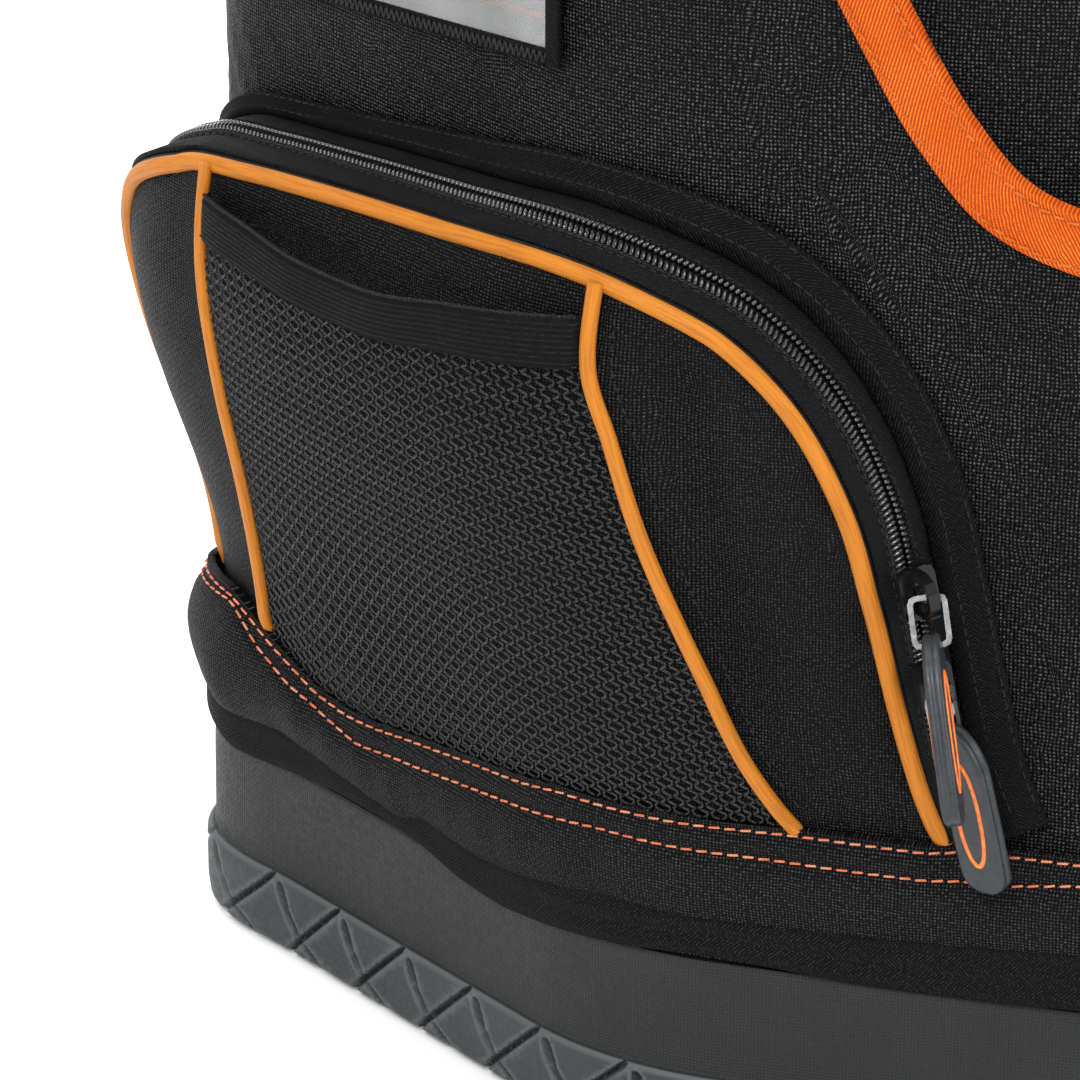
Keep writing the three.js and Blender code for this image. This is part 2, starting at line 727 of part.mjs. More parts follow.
function linkGeometry() {
  const outer = roundedRectangle(LINK_LENGTH + WIRE, LINK_ROOM + 2 * WIRE, 1.6);
  outer.holes.push(roundedRectangle(LINK_LENGTH - WIRE, LINK_ROOM, 0.8, new THREE.Path()));
  return slab(outer, WIRE, 1).rotateX(Math.PI / 2).translate(LINK_LENGTH / 2, 0, 0);
}

function pullGeometry() {
  const start = LINK_LENGTH - PULL_EYE;
  const end = start + PULL_LENGTH;
  const [low, high] = [-2.6, PULL_WIDTH - 2.6];
  const shape = new THREE.Shape();
  shape.moveTo(start, 1);
  shape.quadraticCurveTo(start, low, start + 3, low);
  shape.lineTo(end - 5, low);
  shape.quadraticCurveTo(end, low, end, (low + high) / 2);
  shape.quadraticCurveTo(end, high, end - 5, high);
  shape.lineTo(start + 9, high);
  shape.quadraticCurveTo(start + 1, high - 2, start, 1);
  const eye = new THREE.Path();
  eye.absarc(LINK_LENGTH, 0, WIRE / 2 + 0.7, 0, 2 * Math.PI);
  shape.holes.push(new THREE.Path(eye.getPoints(3)));
  return slab(shape, PULL_THICK, 2);
}

// The link and pull hang turned from the slider: yaw about the chain, roll in its plane, lift off it
function sliderSet(label, origin, down, off, { yaw = 0, roll = 0, lift = 0, drop = 0 } = {}) {
  placed(`slider_${label}`, 'zip', sliderGeometry(), frameOf(origin, down, off));
  const hinge = origin.clone().addScaledVector(off, HINGE_HEIGHT - drop);
  const hang = down.clone().applyAxisAngle(off, radians(roll));
  const out = off.clone().applyAxisAngle(hang, radians(yaw));
  const axis = hang.clone().cross(out).normalize();
  [hang, out].forEach((way) => way.applyAxisAngle(axis, radians(lift)));
  const frame = frameOf(hinge, hang, out);
  placed(`pull_link_${label}`, 'steel', linkGeometry(), frame);
  placed(`zip_pull_${label}`, 'moulded', pullGeometry(), frame);
}

const SLIDER_HEIGHTS = [{ label: 'upper', z: 138 }, { label: 'lower', z: 118 }];

function pocketSliders(label, side) {
  SLIDER_HEIGHTS.forEach(({ label: level, z }) => {
    let t = 0.7;
    while (outlineCurve.getPointAt(t).y > z) t += 0.001;
    const lift = CHAIN_LIFT + CHAIN_HIGH / 2 + TOUCH;
    const origin = gussetPoint(t, 0.5, lift, side);
    const off = gussetPoint(t, 0.5, lift + 1, side).sub(origin).normalize();
    const down = gussetPoint(t + 0.01, 0.5, lift, side).sub(gussetPoint(t - 0.01, 0.5, lift, side));
    const turn = level === 'upper' ? { yaw: side * 32, lift: 27 } : { yaw: -side * 36, roll: side * 2 };
    sliderSet(`${label}_${level}`, origin, down.normalize(), off, turn);
  });
}

// Card holder over the left pocket: backing, orange line, clear sheet and hem
const CARD = { start: 64, end: 150, foot: 228, rise: 0.09, high: 56 };

function cardHolder() {
  const layer = (name, look, from, to, foot, head, lift, thickness) =>
    sheet(name, look, 6, 1, thickness, (u, v, up) => {
      const s = lerp(from, to, u);
      const base = CARD.foot + CARD.rise * (s - CARD.start);
      return wall(s, base + lerp(foot, head, v), lift + up);
    });
  const { start, end, high } = CARD;
  layer('card_backing', 'card', start, end, 4.3, high, TOUCH, 0.8);
  layer('card_line', 'orange', start + 1, end - 1, 9, 10.4, 1.4, 0.3);
  layer('card_sheet', 'clear', start, end, 4.3, high, 2, 0.5);
  layer('card_hem', 'twill', start, end, 0, 4, TOUCH, 2.4);
}

// Main zip over the top of the bag, in a plane across it
const MAIN_ZIP_Y = 20;
const MAIN_ZIP_START = 366;

function mainZipPath() {
  const heights = CROWN.map(({ up }) => up * BODY_HEIGHT);
  const rise = [MAIN_ZIP_START, ...heights.filter((z) => z > MAIN_ZIP_START)];
  const edge = HALF_WIDTH - CLOTH - GAP;
  const half = rise.map((z) => new THREE.Vector3(insetAt(z) - edge, MAIN_ZIP_Y, z));
  const top = [-60, 0].map((x) => new THREE.Vector3(x, MAIN_ZIP_Y, BODY_HEIGHT));
  const left = [...half, ...top];
  const right = left.slice(0, -1).reverse().map((p) => new THREE.Vector3(-p.x, p.y, p.z));
  const points = [...left, ...right];
  const across = new THREE.Vector3(0, 1, 0);
  return points.map((point, k) => {
    const next = points[Math.min(k + 1, points.length - 1)];
    const last = points[Math.max(k - 1, 0)];
    const tangent = next.clone().sub(last).normalize();
    return { point, normal: tangent.cross(across) };
  });
}

function mainZip() {
  const path = mainZipPath();
  const lifted = (lift) => path.map(({ point, normal }) => ({
    point: point.clone().addScaledVector(normal, lift),
    normal,
  }));
  const columns = path.length - 1;
  sheet('main_zip_tape', 'twill', columns, 1, 1, (u, v, lift) => {
    const { point } = lifted(GAP + lift)[Math.round(u * columns)];
    return point.clone().setY(MAIN_ZIP_Y + lerp(-14, 14, v));
  });
  const chainLift = GAP + 1 + TOUCH + CHAIN_HIGH / 2;
  tubeAlong('main_zip_chain', 'zip', lifted(chainLift), flatSection(CHAIN_HIGH, 6));
  const up = new THREE.Vector3(0, 0, 1);
  const lift = chainLift + CHAIN_HIGH / 2 + TOUCH;
  const origin = new THREE.Vector3(-8, MAIN_ZIP_Y, BODY_HEIGHT + lift);
  sliderSet('main', origin, new THREE.Vector3(-1, 0, 0), up, { drop: 1.2 });
}

// The back: pads, yoke, shoulder straps with their webbing and ladder locks, and the handle
const BACK_Y = BODY_DEPTH / 2 - CLOTH - GAP;
const STRAP_ROUTE = [
  { x: 50, out: -2.8, z: 392 },
  { x: 51, out: 16.5, z: 397 },
  { x: 54, out: 31.5, z: 388 },
  { x: 59, out: 38.5, z: 362 },
  { x: 66, out: 41.5, z: 320 },
  { x: 77, out: 40.5, z: 270 },
  { x: 91, out: 35.5, z: 222 },
  { x: 96, out: 31.5, z: 204 },
  { x: 96.5, out: 29.5, z: 192 },
].map(({ x, out, z }) => ({ x, y: BACK_Y + out, z }));
const STRAP_WIDTH = 60;
const STRAP_THICK = 11;
const WEBBING_WIDTH = 25;
const WEBBING_THICK = 1.6;
const LOCK = { wide: 36, high: 26, bar: 4.5, thick: 4 };

// A strip along a route in the YZ view, its width turned to lie along X
function strip(name, look, route, wide, thick, side) {
  const curve = new THREE.CatmullRomCurve3(route.map(({ x, y, z }) => new THREE.Vector3(side * x, y, z)));
  const steps = 2 * (route.length - 1);
  const path = Array.from({ length: steps + 1 }, (_, k) => {
    const tangent = curve.getTangent(k / steps);
    const normal = new THREE.Vector3(1, 0, 0).cross(tangent).normalize();
    return { point: curve.getPoint(k / steps), normal };
  });
  const [a, b] = [thick / 2, wide / 2];
  const section = thick < 4
    ? [[a, b], [a, -b], [-a, -b], [-a, b]]
    : [[a, b - a], [a, a - b], [a / 2, -b], [-a / 2, -b], [-a, a - b], [-a, b - a], [-a / 2, b], [a / 2, b]];
  return tubeAlong(name, look, path, section);
}

function pad(name, wide, high, x, z, thick) {
  const shape = roundedRectangle(wide - 10, high - 10, 16);
  const geometry = new THREE.ExtrudeGeometry(shape, {
    depth: thick - 6,
    bevelThickness: 3,
    bevelSize: 5,
    bevelSegments: 1,
    curveSegments: 3,
  });
  geometry.rotateX(-Math.PI / 2).rotateY(Math.PI);
  const mesh = addMesh(name, 'cordura', geometry);
  mesh.position.set(x, BACK_Y + TOUCH + 3, z);
}

function backSide() {
  pad('back_pad_left', 74, 190, -44, 247, 14);
  pad('back_pad_right', 74, 190, 44, 247, 14);
  pad('lumbar_pad', 184, 48, 0, 117, 15);
  sheet('strap_yoke', 'twill', 2, 2, 3, (u, v, lift) => {
    const x = lerp(-95, 95, u);
    const z = [356, CROWN[3].up * BODY_HEIGHT, 406][Math.round(v * 2)];
    return new THREE.Vector3(x, BACK_Y - insetAt(z) + TOUCH + lift, z);
  });
  [['left', -1], ['right', 1]].forEach(([label, side]) => {
    strip(`shoulder_strap_${label}`, 'cordura', STRAP_ROUTE, STRAP_WIDTH, STRAP_THICK, side);
    ladderLock(label, side);
  });
}

// Ladder lock: a frame with two slots; the webbing comes up behind, through and down in front
function ladderLock(label, side) {
  const end = STRAP_ROUTE[STRAP_ROUTE.length - 1];
  const before = STRAP_ROUTE[STRAP_ROUTE.length - 2];
  const down = new THREE.Vector3(0, end.y - before.y, end.z - before.z).normalize();
  const top = new THREE.Vector3(side * end.x, end.y, end.z);
  const centre = top.clone().addScaledVector(down, TOUCH + 0.2 + LOCK.high / 2);
  const shape = roundedRectangle(LOCK.high, LOCK.wide, 2);
  const slot = (LOCK.high - 3 * LOCK.bar) / 2;
  [-1, 1].forEach((way) => {
    const hole = roundedRectangle(slot, WEBBING_WIDTH + 2, 1, new THREE.Path());
    const shift = new THREE.Vector2((way * (slot + LOCK.bar)) / 2, 0);
    shape.holes.push(new THREE.Path(hole.getPoints(1).map((p) => p.add(shift))));
  });
  const off = new THREE.Vector3(1, 0, 0).cross(down);
  placed(`ladder_lock_${label}`, 'moulded', slab(shape, LOCK.thick, 1),
    frameOf(centre, down, new THREE.Vector3(1, 0, 0)));
  const place = (along, out) => centre.clone().addScaledVector(down, along).addScaledVector(off, out);
  const clear = LOCK.thick / 2 + WEBBING_THICK / 2 + 0.7;
  const inner = (slot + LOCK.bar) / 2 - 0.8;
  const route = [
    place(58, 7),
    place(32, clear + 2.5),
    place(15, clear + 0.2),
    place(inner + 4.6, clear),
    place(inner + 1.4, clear * 0.7),
    place(inner, 0),
    place(inner + 1.4, -clear * 0.7),
    place(inner + 4.6, -clear),
    place(15, -clear - 0.2),
    new THREE.Vector3(side * 116, BACK_Y + 8.5, 126),
    new THREE.Vector3(side * 126, BACK_Y + 1.9, 106),
    new THREE.Vector3(side * 129, BACK_Y + 1.2, 96),
    new THREE.Vector3(side * 130, BACK_Y + 1.2, 85),
  ].map(({ x, y, z }) => ({ x: side * x, y, z }));
  strip(`strap_webbing_${label}`, 'twill', route, WEBBING_WIDTH, WEBBING_THICK, side);
}

function topHandle() {
  const { y, wide, thick } = { y: 62, wide: 24, thick: 3.4 };
  const base = BODY_HEIGHT + TOUCH + thick / 2;
  const half = [[64, 0], [50, 0], [44, 4], [40, 14], [33, 26], [22, 34], [8, 37]];
  const route = [...half, ...half.map(([x, z]) => [-x, z]).reverse()];
  const path = route.map(([x, z], k) => {
    const [x1, z1] = route[Math.min(k + 1, route.length - 1)];
    const [x0, z0] = route[Math.max(k - 1, 0)];
    const tangent = new THREE.Vector3(x1 - x0, 0, z1 - z0).normalize();
    return {
      point: new THREE.Vector3(x, y, base + z),
      normal: tangent.cross(new THREE.Vector3(0, 1, 0)),
    };
  });
  const [a, b] = [thick / 2, wide / 2];
  tubeAlong('top_handle', 'twill', path, [[a, b], [a, -b], [-a, -b], [-a, b]]);
}

// Everything is put together, then centred over the origin
baseTray();
mainBody();
bottomBands();
outerPanel();
scoopBinding();
sidePocket('left', 1);
sidePocket('right', -1);
pocketSliders('left', 1);
pocketSliders('right', -1);
cardHolder();
mainZip();
backSide();
topHandle();

const extent = new THREE.Box3().setFromObject(pack);
pack.position.y = -(extent.min.y + extent.max.y) / 2;

export default pack;
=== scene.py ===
import json
import math

import bpy
import numpy as np
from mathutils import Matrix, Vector


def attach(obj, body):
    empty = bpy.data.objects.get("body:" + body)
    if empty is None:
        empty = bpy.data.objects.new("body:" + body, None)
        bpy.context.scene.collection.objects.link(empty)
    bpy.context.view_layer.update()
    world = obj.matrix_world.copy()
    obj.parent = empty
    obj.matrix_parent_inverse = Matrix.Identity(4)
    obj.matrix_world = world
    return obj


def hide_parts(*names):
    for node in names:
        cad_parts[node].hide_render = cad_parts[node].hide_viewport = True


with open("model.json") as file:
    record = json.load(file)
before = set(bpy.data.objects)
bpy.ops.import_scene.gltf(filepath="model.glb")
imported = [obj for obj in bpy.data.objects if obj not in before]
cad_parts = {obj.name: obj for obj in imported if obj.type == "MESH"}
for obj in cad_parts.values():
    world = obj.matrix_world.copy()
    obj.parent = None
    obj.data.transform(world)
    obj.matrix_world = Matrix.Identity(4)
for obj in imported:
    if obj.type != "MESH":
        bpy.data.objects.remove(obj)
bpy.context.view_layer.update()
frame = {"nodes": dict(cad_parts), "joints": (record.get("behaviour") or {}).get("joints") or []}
PI = math.pi

# ---------------------------------------------------------------- sizes, in millimetres
BACK_FLAT, BODY_HEIGHT, BODY_DEPTH = 142.0, 450.0, 250.0
PLAN = [("run", 142.0, 0), ("arc", 33.0, 90), ("run", 90.5, 0), ("arc", 77.0, 34), ("run", 71.5, 0),
        ("arc", 55.0, 56)]
CROWN_UP = [0, 0.66, 0.78, 0.86, 0.915, 0.955, 0.985, 1]
CROWN_INSET = [0, 0, 0.004, 0.015, 0.034, 0.062, 0.1, 0.15]
SHIFT_Y = -20.061
HALF_WIDTH = 175.0
POCKET_START, POCKET_LENGTH, POCKET_FOOT, POCKET_HEIGHT = 28.0, 208.0, 82.5, 118.0
REAR_DEPTH, FRONT_DEPTH, BULGE = 18.5, 6.5, 5.0
PIPING_ROOM = 2.2     # from the outer piping's middle to the zipped wall
FACE_CLOTH = 1.5
MESH_ROOM = 7.6       # how far the net stands off the pocket's face
HEM_FOOT, HEM_TOP = 0.86, 0.945
SCOOP_TAPE = 12.0
CARD_REAR, CARD_FRONT, CARD_FOOT, CARD_HIGH, CARD_SLOPE = 64.0, 150.0, 228.0, 56.0, 0.09
BACK_Y = 122.5        # the wearer's side, where pads and straps start
HEAVY = 9000          # faces from which a piece is thinned
KEPT_SHARE = 0.48     # share of its triangles that then stays
TREAD_SHARE = 0.62    # and of the tray's, for its grooves


def place(points):
    """Millimetres in the drawing's frame to metres in the row frame."""
    q = np.array(points, float)
    q[..., 1] += SHIFT_Y
    return q * 0.001


def smooth(x, a, b):
    t = np.clip((np.asarray(x, float) - a) / (b - a), 0, 1)
    return t * t * (3 - 2 * t)


def mix(a, b, t):
    return a + (b - a) * t


def rounded(d, radius):
    """Share of the full height at a distance d from an edge of this radius."""
    return np.sqrt(np.clip(1 - (1 - np.clip(d / radius, 0, 1)) ** 2, 0, 1))


def unit(v):
    return v / np.linalg.norm(v, axis=-1, keepdims=True)


def signed_power(c, power):
    return np.sign(c) * np.abs(c) ** power


def run_of(path):
    """Length along a path of points, from its start."""
    return np.concatenate([[0], np.cumsum(np.linalg.norm(np.diff(path, axis=0), axis=1))])


def picked(values, run, at):
    return np.stack([np.interp(at, run, values[:, k]) for k in range(3)], -1)


def plan_at(s):
    s = np.asarray(s, float)
    left = s + BACK_FLAT
    x, y, h = np.zeros_like(s), np.full_like(s, BODY_DEPTH / 2), np.full_like(s, PI)
    for k, (kind, size, turn) in enumerate(PLAN):
        if kind == "run":
            step = np.minimum(left, size) if k == 0 else np.clip(left, 0, size)
            x, y = x + step * np.cos(h), y + step * np.sin(h)
            left = left - size
        else:
            length = size * math.radians(turn)
            bend = np.clip(left, 0, length) / size
            x = x + size * (np.sin(h + bend) - np.sin(h))
            y = y - size * (np.cos(h + bend) - np.cos(h))
            h = h + bend
            left = left - length
    left = np.maximum(left, 0)
    return x + left * np.cos(h), y + left * np.sin(h), np.sin(h), -np.cos(h)


TURNED = sum(size if kind == "run" else size * math.radians(turn) for kind, size, turn in PLAN)
FRONT_START = TURNED - BACK_FLAT
FRONT_MIDDLE = FRONT_START - float(plan_at(FRONT_START)[0])
HALF_GIRTH = FRONT_MIDDLE + BACK_FLAT
GIRTH = 2 * HALF_GIRTH

_u = np.linspace(0, 1, 451)
_raw = np.interp(_u, CROWN_UP, CROWN_INSET)
_kernel = np.exp(-0.5 * (np.arange(-14, 15) / 5.0) ** 2)
_kernel /= _kernel.sum()
_pad = np.concatenate([np.full(14, _raw[0]), _raw, 2 * _raw[-1] - _raw[-2:-16:-1]])
CROWN_SMOOTH = np.convolve(_pad, _kernel, "valid")


def inset_at(z):
    return BODY_HEIGHT * np.interp(np.asarray(z, float) / BODY_HEIGHT, _u, CROWN_SMOOTH)


def wall(s, z, out=0.0, side=1.0):
    x, y, nx, ny = plan_at(s)
    inset = inset_at(z)
    px = x * (1 - inset / HALF_WIDTH) + nx * out
    py = y * (1 - 2 * inset / BODY_DEPTH) + ny * out
    return np.stack(np.broadcast_arrays(side * px, py, np.asarray(z, float) + 0 * px), -1)


def laid(surface, a, b, lift, side, **how):
    """A path at a height over a surface, and the normals along it."""
    path = surface(a, b, lift, side, **how)
    return path, surface(a, b, lift + 1, side, **how) - path


def around(q):
    """Whole girth: along the wall from the middle of the back, and which side."""
    q = np.asarray(q, float)
    return np.where(q <= HALF_GIRTH, q, GIRTH - q) - BACK_FLAT, np.where(q <= HALF_GIRTH, 1.0, -1.0)


def ripple(p, size, seed, squash=(1, 1, 1), count=16):
    """Smooth noise in space, about -1 to 1, the same in each run."""
    rng = np.random.default_rng(seed)
    total = np.zeros(p.shape[:-1])
    for _ in range(count):
        d = rng.normal(size=3)
        d = d / np.linalg.norm(d) * np.array(squash)
        wave = 2 * PI / (size * rng.uniform(0.7, 1.7))
        total += np.cos((p @ d) * wave + rng.uniform(0, 2 * PI))
    return total / math.sqrt(count) / 1.3


class Curve:
    """Smooth curve through points, centripetal, read by its share of the length."""

    def __init__(self, points, dense=60):
        p = np.array(points, float)
        ends = [2 * p[0] - p[1], 2 * p[-1] - p[-2]]
        q = np.vstack([ends[0], p, ends[1]])
        out = []
        for k in range(len(p) - 1):
            p0, p1, p2, p3 = q[k:k + 4]
            d0, d1, d2 = (max(np.linalg.norm(b - a), 1e-6) ** 0.5 for a, b in ((p0, p1), (p1, p2), (p2, p3)))
            t1 = ((p1 - p0) / d0 - (p2 - p0) / (d0 + d1) + (p2 - p1) / d1) * d1
            t2 = ((p2 - p1) / d1 - (p3 - p1) / (d1 + d2) + (p3 - p2) / d2) * d1
            t = np.linspace(0, 1, dense, endpoint=(k == len(p) - 2))[:, None]
            out.append(p1 + t1 * t + (-3 * p1 + 3 * p2 - 2 * t1 - t2) * t ** 2 + (2 * p1 - 2 * p2 + t1 + t2) * t ** 3)
        self.p = np.vstack(out)
        run = run_of(self.p)
        self.length = run[-1]
        self.run = run / run[-1]

    def at(self, t):
        t = np.asarray(t, float)
        return np.stack([np.interp(t, self.run, self.p[:, k]) for k in range(self.p.shape[1])], -1)

    def tangent(self, t, e=0.004):
        d = self.at(np.clip(np.asarray(t) + e, 0, 1)) - self.at(np.clip(np.asarray(t) - e, 0, 1))
        return unit(d)


# ---------------------------------------------------------------- meshes
def grid(points, uv, wrap=False):
    """Quads of a grid of points, rows by columns, with a UV for each corner."""
    rows, cols = points.shape[:2]
    index = np.arange(rows * cols).reshape(rows, cols)
    if wrap:
        index = np.concatenate([index, index[:, :1]], 1)
    quads = np.stack([index[:-1, :-1], index[:-1, 1:], index[1:, 1:], index[1:, :-1]], -1).reshape(-1, 4)
    uvs = np.stack([uv[:-1, :-1], uv[:-1, 1:], uv[1:, 1:], uv[1:, :-1]], 2).reshape(-1, 4, 2)
    return points.reshape(-1, 3), quads, uvs


def volume(co, faces):
    total = 0.0
    for f in faces:
        if not len(f):
            continue
        for k in range(1, f.shape[1] - 1):
            a, b, c = co[f[:, 0]], co[f[:, k]], co[f[:, k + 1]]
            total += np.einsum("ij,ij->i", a, np.cross(b, c)).sum()
    return total


class Build:
    """Gathers closed surfaces in one mesh."""

    def __init__(self):
        self.co, self.faces, self.uvs, self.mats, self.n = [], [], [], [], 0

    def add(self, co, faces, uvs=None, mat=0, closed=True):
        faces = [np.asarray(f) for f in (faces if isinstance(faces, list) else [faces]) if len(f)]
        if uvs is None:
            uvs = [np.repeat(co[f][..., [0, 2]], 1, 0) for f in faces]
        elif not isinstance(uvs, list):
            uvs = [uvs]
        if closed and volume(co - co.mean(0), faces) < 0:
            faces = [f[:, ::-1] for f in faces]
            uvs = [u[:, ::-1] for u in uvs]
        self.co.append(co)
        for f, u in zip(faces, uvs):
            self.faces.append(f + self.n)
            self.uvs.append(u)
            self.mats.append(np.full(len(f), mat))
        self.n += len(co)
        return self

    def make(self, name, mats, angle=50):
        co = place(np.vstack(self.co))
        me = bpy.data.meshes.new(name)
        me.vertices.add(len(co))
        me.vertices.foreach_set("co", co.ravel())
        loops = np.concatenate([f.ravel() for f in self.faces])
        sizes = np.concatenate([np.full(len(f), f.shape[1]) for f in self.faces])
        me.loops.add(len(loops))
        me.loops.foreach_set("vertex_index", loops.astype(np.int32))
        me.polygons.add(len(sizes))
        me.polygons.foreach_set("loop_start", np.concatenate([[0], np.cumsum(sizes)[:-1]]).astype(np.int32))
        me.polygons.foreach_set("loop_total", sizes.astype(np.int32))
        me.polygons.foreach_set("material_index", np.concatenate(self.mats).astype(np.int32))
        layer = me.uv_layers.new(name="UVMap")
        layer.data.foreach_set("uv", np.concatenate([u.reshape(-1, 2) for u in self.uvs]).ravel().astype(np.float32))
        me.update(calc_edges=True)
        me.validate()
        me.polygons.foreach_set("use_smooth", np.ones(len(me.polygons), bool))
        me.set_sharp_from_angle(angle=math.radians(angle))
        for m in (mats if isinstance(mats, (list, tuple)) else [mats]):
            me.materials.append(m)
        o = bpy.data.objects.new(name, me)
        bpy.context.scene.collection.objects.link(o)
        return o


def sheet(outer, inner, uv, wrap=False):
    """Closed sheet between two grids, with its rims."""
    rows, cols = outer.shape[:2]
    points = np.concatenate([outer, inner[::-1]], 0)
    uvs = np.concatenate([uv, uv[::-1]], 0)
    co = points.reshape(-1, 3)
    index = np.arange(2 * rows * cols).reshape(2 * rows, cols)
    index = np.concatenate([index, index[:1]], 0)
    uvs = np.concatenate([uvs, uvs[:1]], 0)
    if wrap:
        index = np.concatenate([index, index[:, :1]], 1)
    quads = np.stack([index[:-1, :-1], index[:-1, 1:], index[1:, 1:], index[1:, :-1]], -1).reshape(-1, 4)
    quv = np.stack([uvs[:-1, :-1], uvs[:-1, 1:], uvs[1:, 1:], uvs[1:, :-1]], 2).reshape(-1, 4, 2)
    if wrap:
        return co, quads, quv
    caps, cuv = [], []
    for c, flip in ((0, False), (cols - 1, True)):
        a = index[:rows, c]
        b = index[rows:2 * rows, c][::-1]
        q = np.stack([a[:-1], a[1:], b[1:], b[:-1]], -1)
        u = np.stack([uv[:-1, c], uv[1:, c], uv[1:, c], uv[:-1, c]], 1)
        caps.append(q[:, ::-1] if flip else q)
        cuv.append(u[:, ::-1] if flip else u)
    return co, np.vstack([quads] + caps), np.vstack([quv] + cuv)


def fan(start, cols, hub, flip=False):
    """Triangles from one closed row of a grid to a hub."""
    a, b = start + np.arange(cols), start + (np.arange(cols) + 1) % cols
    return np.stack([b, a, np.full(cols, hub)] if flip else [a, b, np.full(cols, hub)], -1)


def tube(path, normal, section, closed=False, caps=True):
    """Tube of a section (off, across) along a path; normals point off the surface. Section may vary by row."""
    path = np.asarray(path, float)
    n = len(path)
    if closed:
        t = np.roll(path, -1, 0) - np.roll(path, 1, 0)
    else:
        t = np.gradient(path, axis=0)
    t = unit(t)
    across = np.cross(t, normal)
    across = unit(across)
    off = np.cross(across, t)
    sec = np.asarray(section, float)
    if sec.ndim == 2:
        sec = np.broadcast_to(sec, (n,) + sec.shape)
    pts = path[:, None] + off[:, None] * sec[..., :1] + across[:, None] * sec[..., 1:]
    run = run_of(path)
    girth = run_of(np.vstack([sec[0], sec[0][:1]]))
    m = sec.shape[1]
    uv = np.stack(np.broadcast_arrays(run[:, None], girth[None, :]), -1)
    if closed:
        pts = np.concatenate([pts, pts[:1]], 0)
    index = np.arange(n * m).reshape(n, m)
    if closed:
        index = np.concatenate([index, index[:1]], 0)
        uv = np.concatenate([uv, uv[:1] + [[[run[-1] + 1, 0]]]], 0)
    index = np.concatenate([index, index[:, :1]], 1)
    quads = np.stack([index[:-1, :-1], index[:-1, 1:], index[1:, 1:], index[1:, :-1]], -1).reshape(-1, 4)
    quv = np.stack([uv[:-1, :-1], uv[:-1, 1:], uv[1:, 1:], uv[1:, :-1]], 2).reshape(-1, 4, 2)
    co = pts[:n].reshape(-1, 3)
    if closed or not caps:
        return co, [quads], [quv]
    hub = np.stack([path[0] - t[0] * 0.25, path[-1] + t[-1] * 0.25])
    co = np.vstack([co, hub])
    tri = np.vstack([fan(0, m, n * m, True), fan((n - 1) * m, m, n * m + 1)])
    return co, [quads, tri], [quv, np.zeros((len(tri), 3, 2))]


def oval(a, b, count=12, power=2.0):
    w = np.arange(count) / count * 2 * PI
    c, s = np.cos(w), np.sin(w)
    return np.stack([a * signed_power(c, 2 / power), b * signed_power(s, 2 / power)], -1)


def capsule(length, radius, sides=6, rings=2, flatten=1.0):
    """A small thread dash along x, with z up."""
    xs = [-length / 2 + radius * (1 - math.cos(k / rings * PI / 2)) for k in range(rings + 1)]
    rs = [radius * math.sin(k / rings * PI / 2) for k in range(rings + 1)]
    xs = xs + [-x for x in xs[::-1]]
    rs = rs + rs[::-1]
    co, quads, tris = [], [], []
    rows = []
    for x, r in zip(xs, rs):
        if r < 1e-6:
            rows.append([len(co)])
            co.append((x, 0, 0))
            continue
        row = []
        for j in range(sides):
            w = 2 * PI * j / sides
            row.append(len(co))
            co.append((x, r * math.cos(w), r * flatten * math.sin(w)))
        rows.append(row)
    for a, b in zip(rows[:-1], rows[1:]):
        for j in range(sides):
            k = (j + 1) % sides
            if len(a) == 1:
                tris.append((a[0], b[k], b[j]))
            elif len(b) == 1:
                tris.append((a[j], a[k], b[0]))
            else:
                quads.append((a[j], a[k], b[k], b[j]))
    return np.array(co, float), np.array(quads, int).reshape(-1, 4), np.array(tris, int).reshape(-1, 3)


def scatter(build, shape, origins, xs, zs, mat=0, scale=None):
    """Copies of a small shape, its x along xs and its z along zs."""
    co, quads, tris = shape
    xs = unit(xs)
    zs = unit(zs - (zs * xs).sum(1, keepdims=True) * xs)
    ys = np.cross(zs, xs)
    if scale is None:
        scale = np.ones(len(origins))
    c = co[None] * np.asarray(scale)[:, None, None]
    pts = origins[:, None] + c[..., :1] * xs[:, None] + c[..., 1:2] * ys[:, None] + c[..., 2:] * zs[:, None]
    n, m = len(origins), len(co)
    shift = (np.arange(n) * m)[:, None, None]
    faces = [(f[None] + shift).reshape(-1, f.shape[1]) for f in (quads, tris) if len(f)]
    run = np.arange(n)[:, None, None] * 3.0
    uvs = [np.stack([co[f][..., 0][None] + run, co[f][..., 1][None] + 0 * run], -1).reshape(-1, f.shape[1], 2)
           for f in (quads, tris) if len(f)]
    build.add(pts.reshape(-1, 3), faces, uvs, mat, closed=False)


def stitches(build, path, normal, pitch=3.2, dash=2.3, radius=0.3, mat=0, slant=0.0, start=0.5):
    """Thread dashes along a path of points."""
    path = np.asarray(path, float)
    run = run_of(path)
    count = int(round(run[-1] / pitch))
    if count < 1:
        return
    at = (np.arange(count) + start) * run[-1] / count
    p, n = picked(path, run, at), picked(np.asarray(normal, float), run, at)
    t = picked(path, run, np.minimum(at + 0.8, run[-1])) - picked(path, run, np.maximum(at - 0.8, 0))
    t = unit(t)
    if slant:
        t = t + np.cross(n, t) * slant
    scatter(build, capsule(dash, radius, 6, 2), p, t, n, mat)


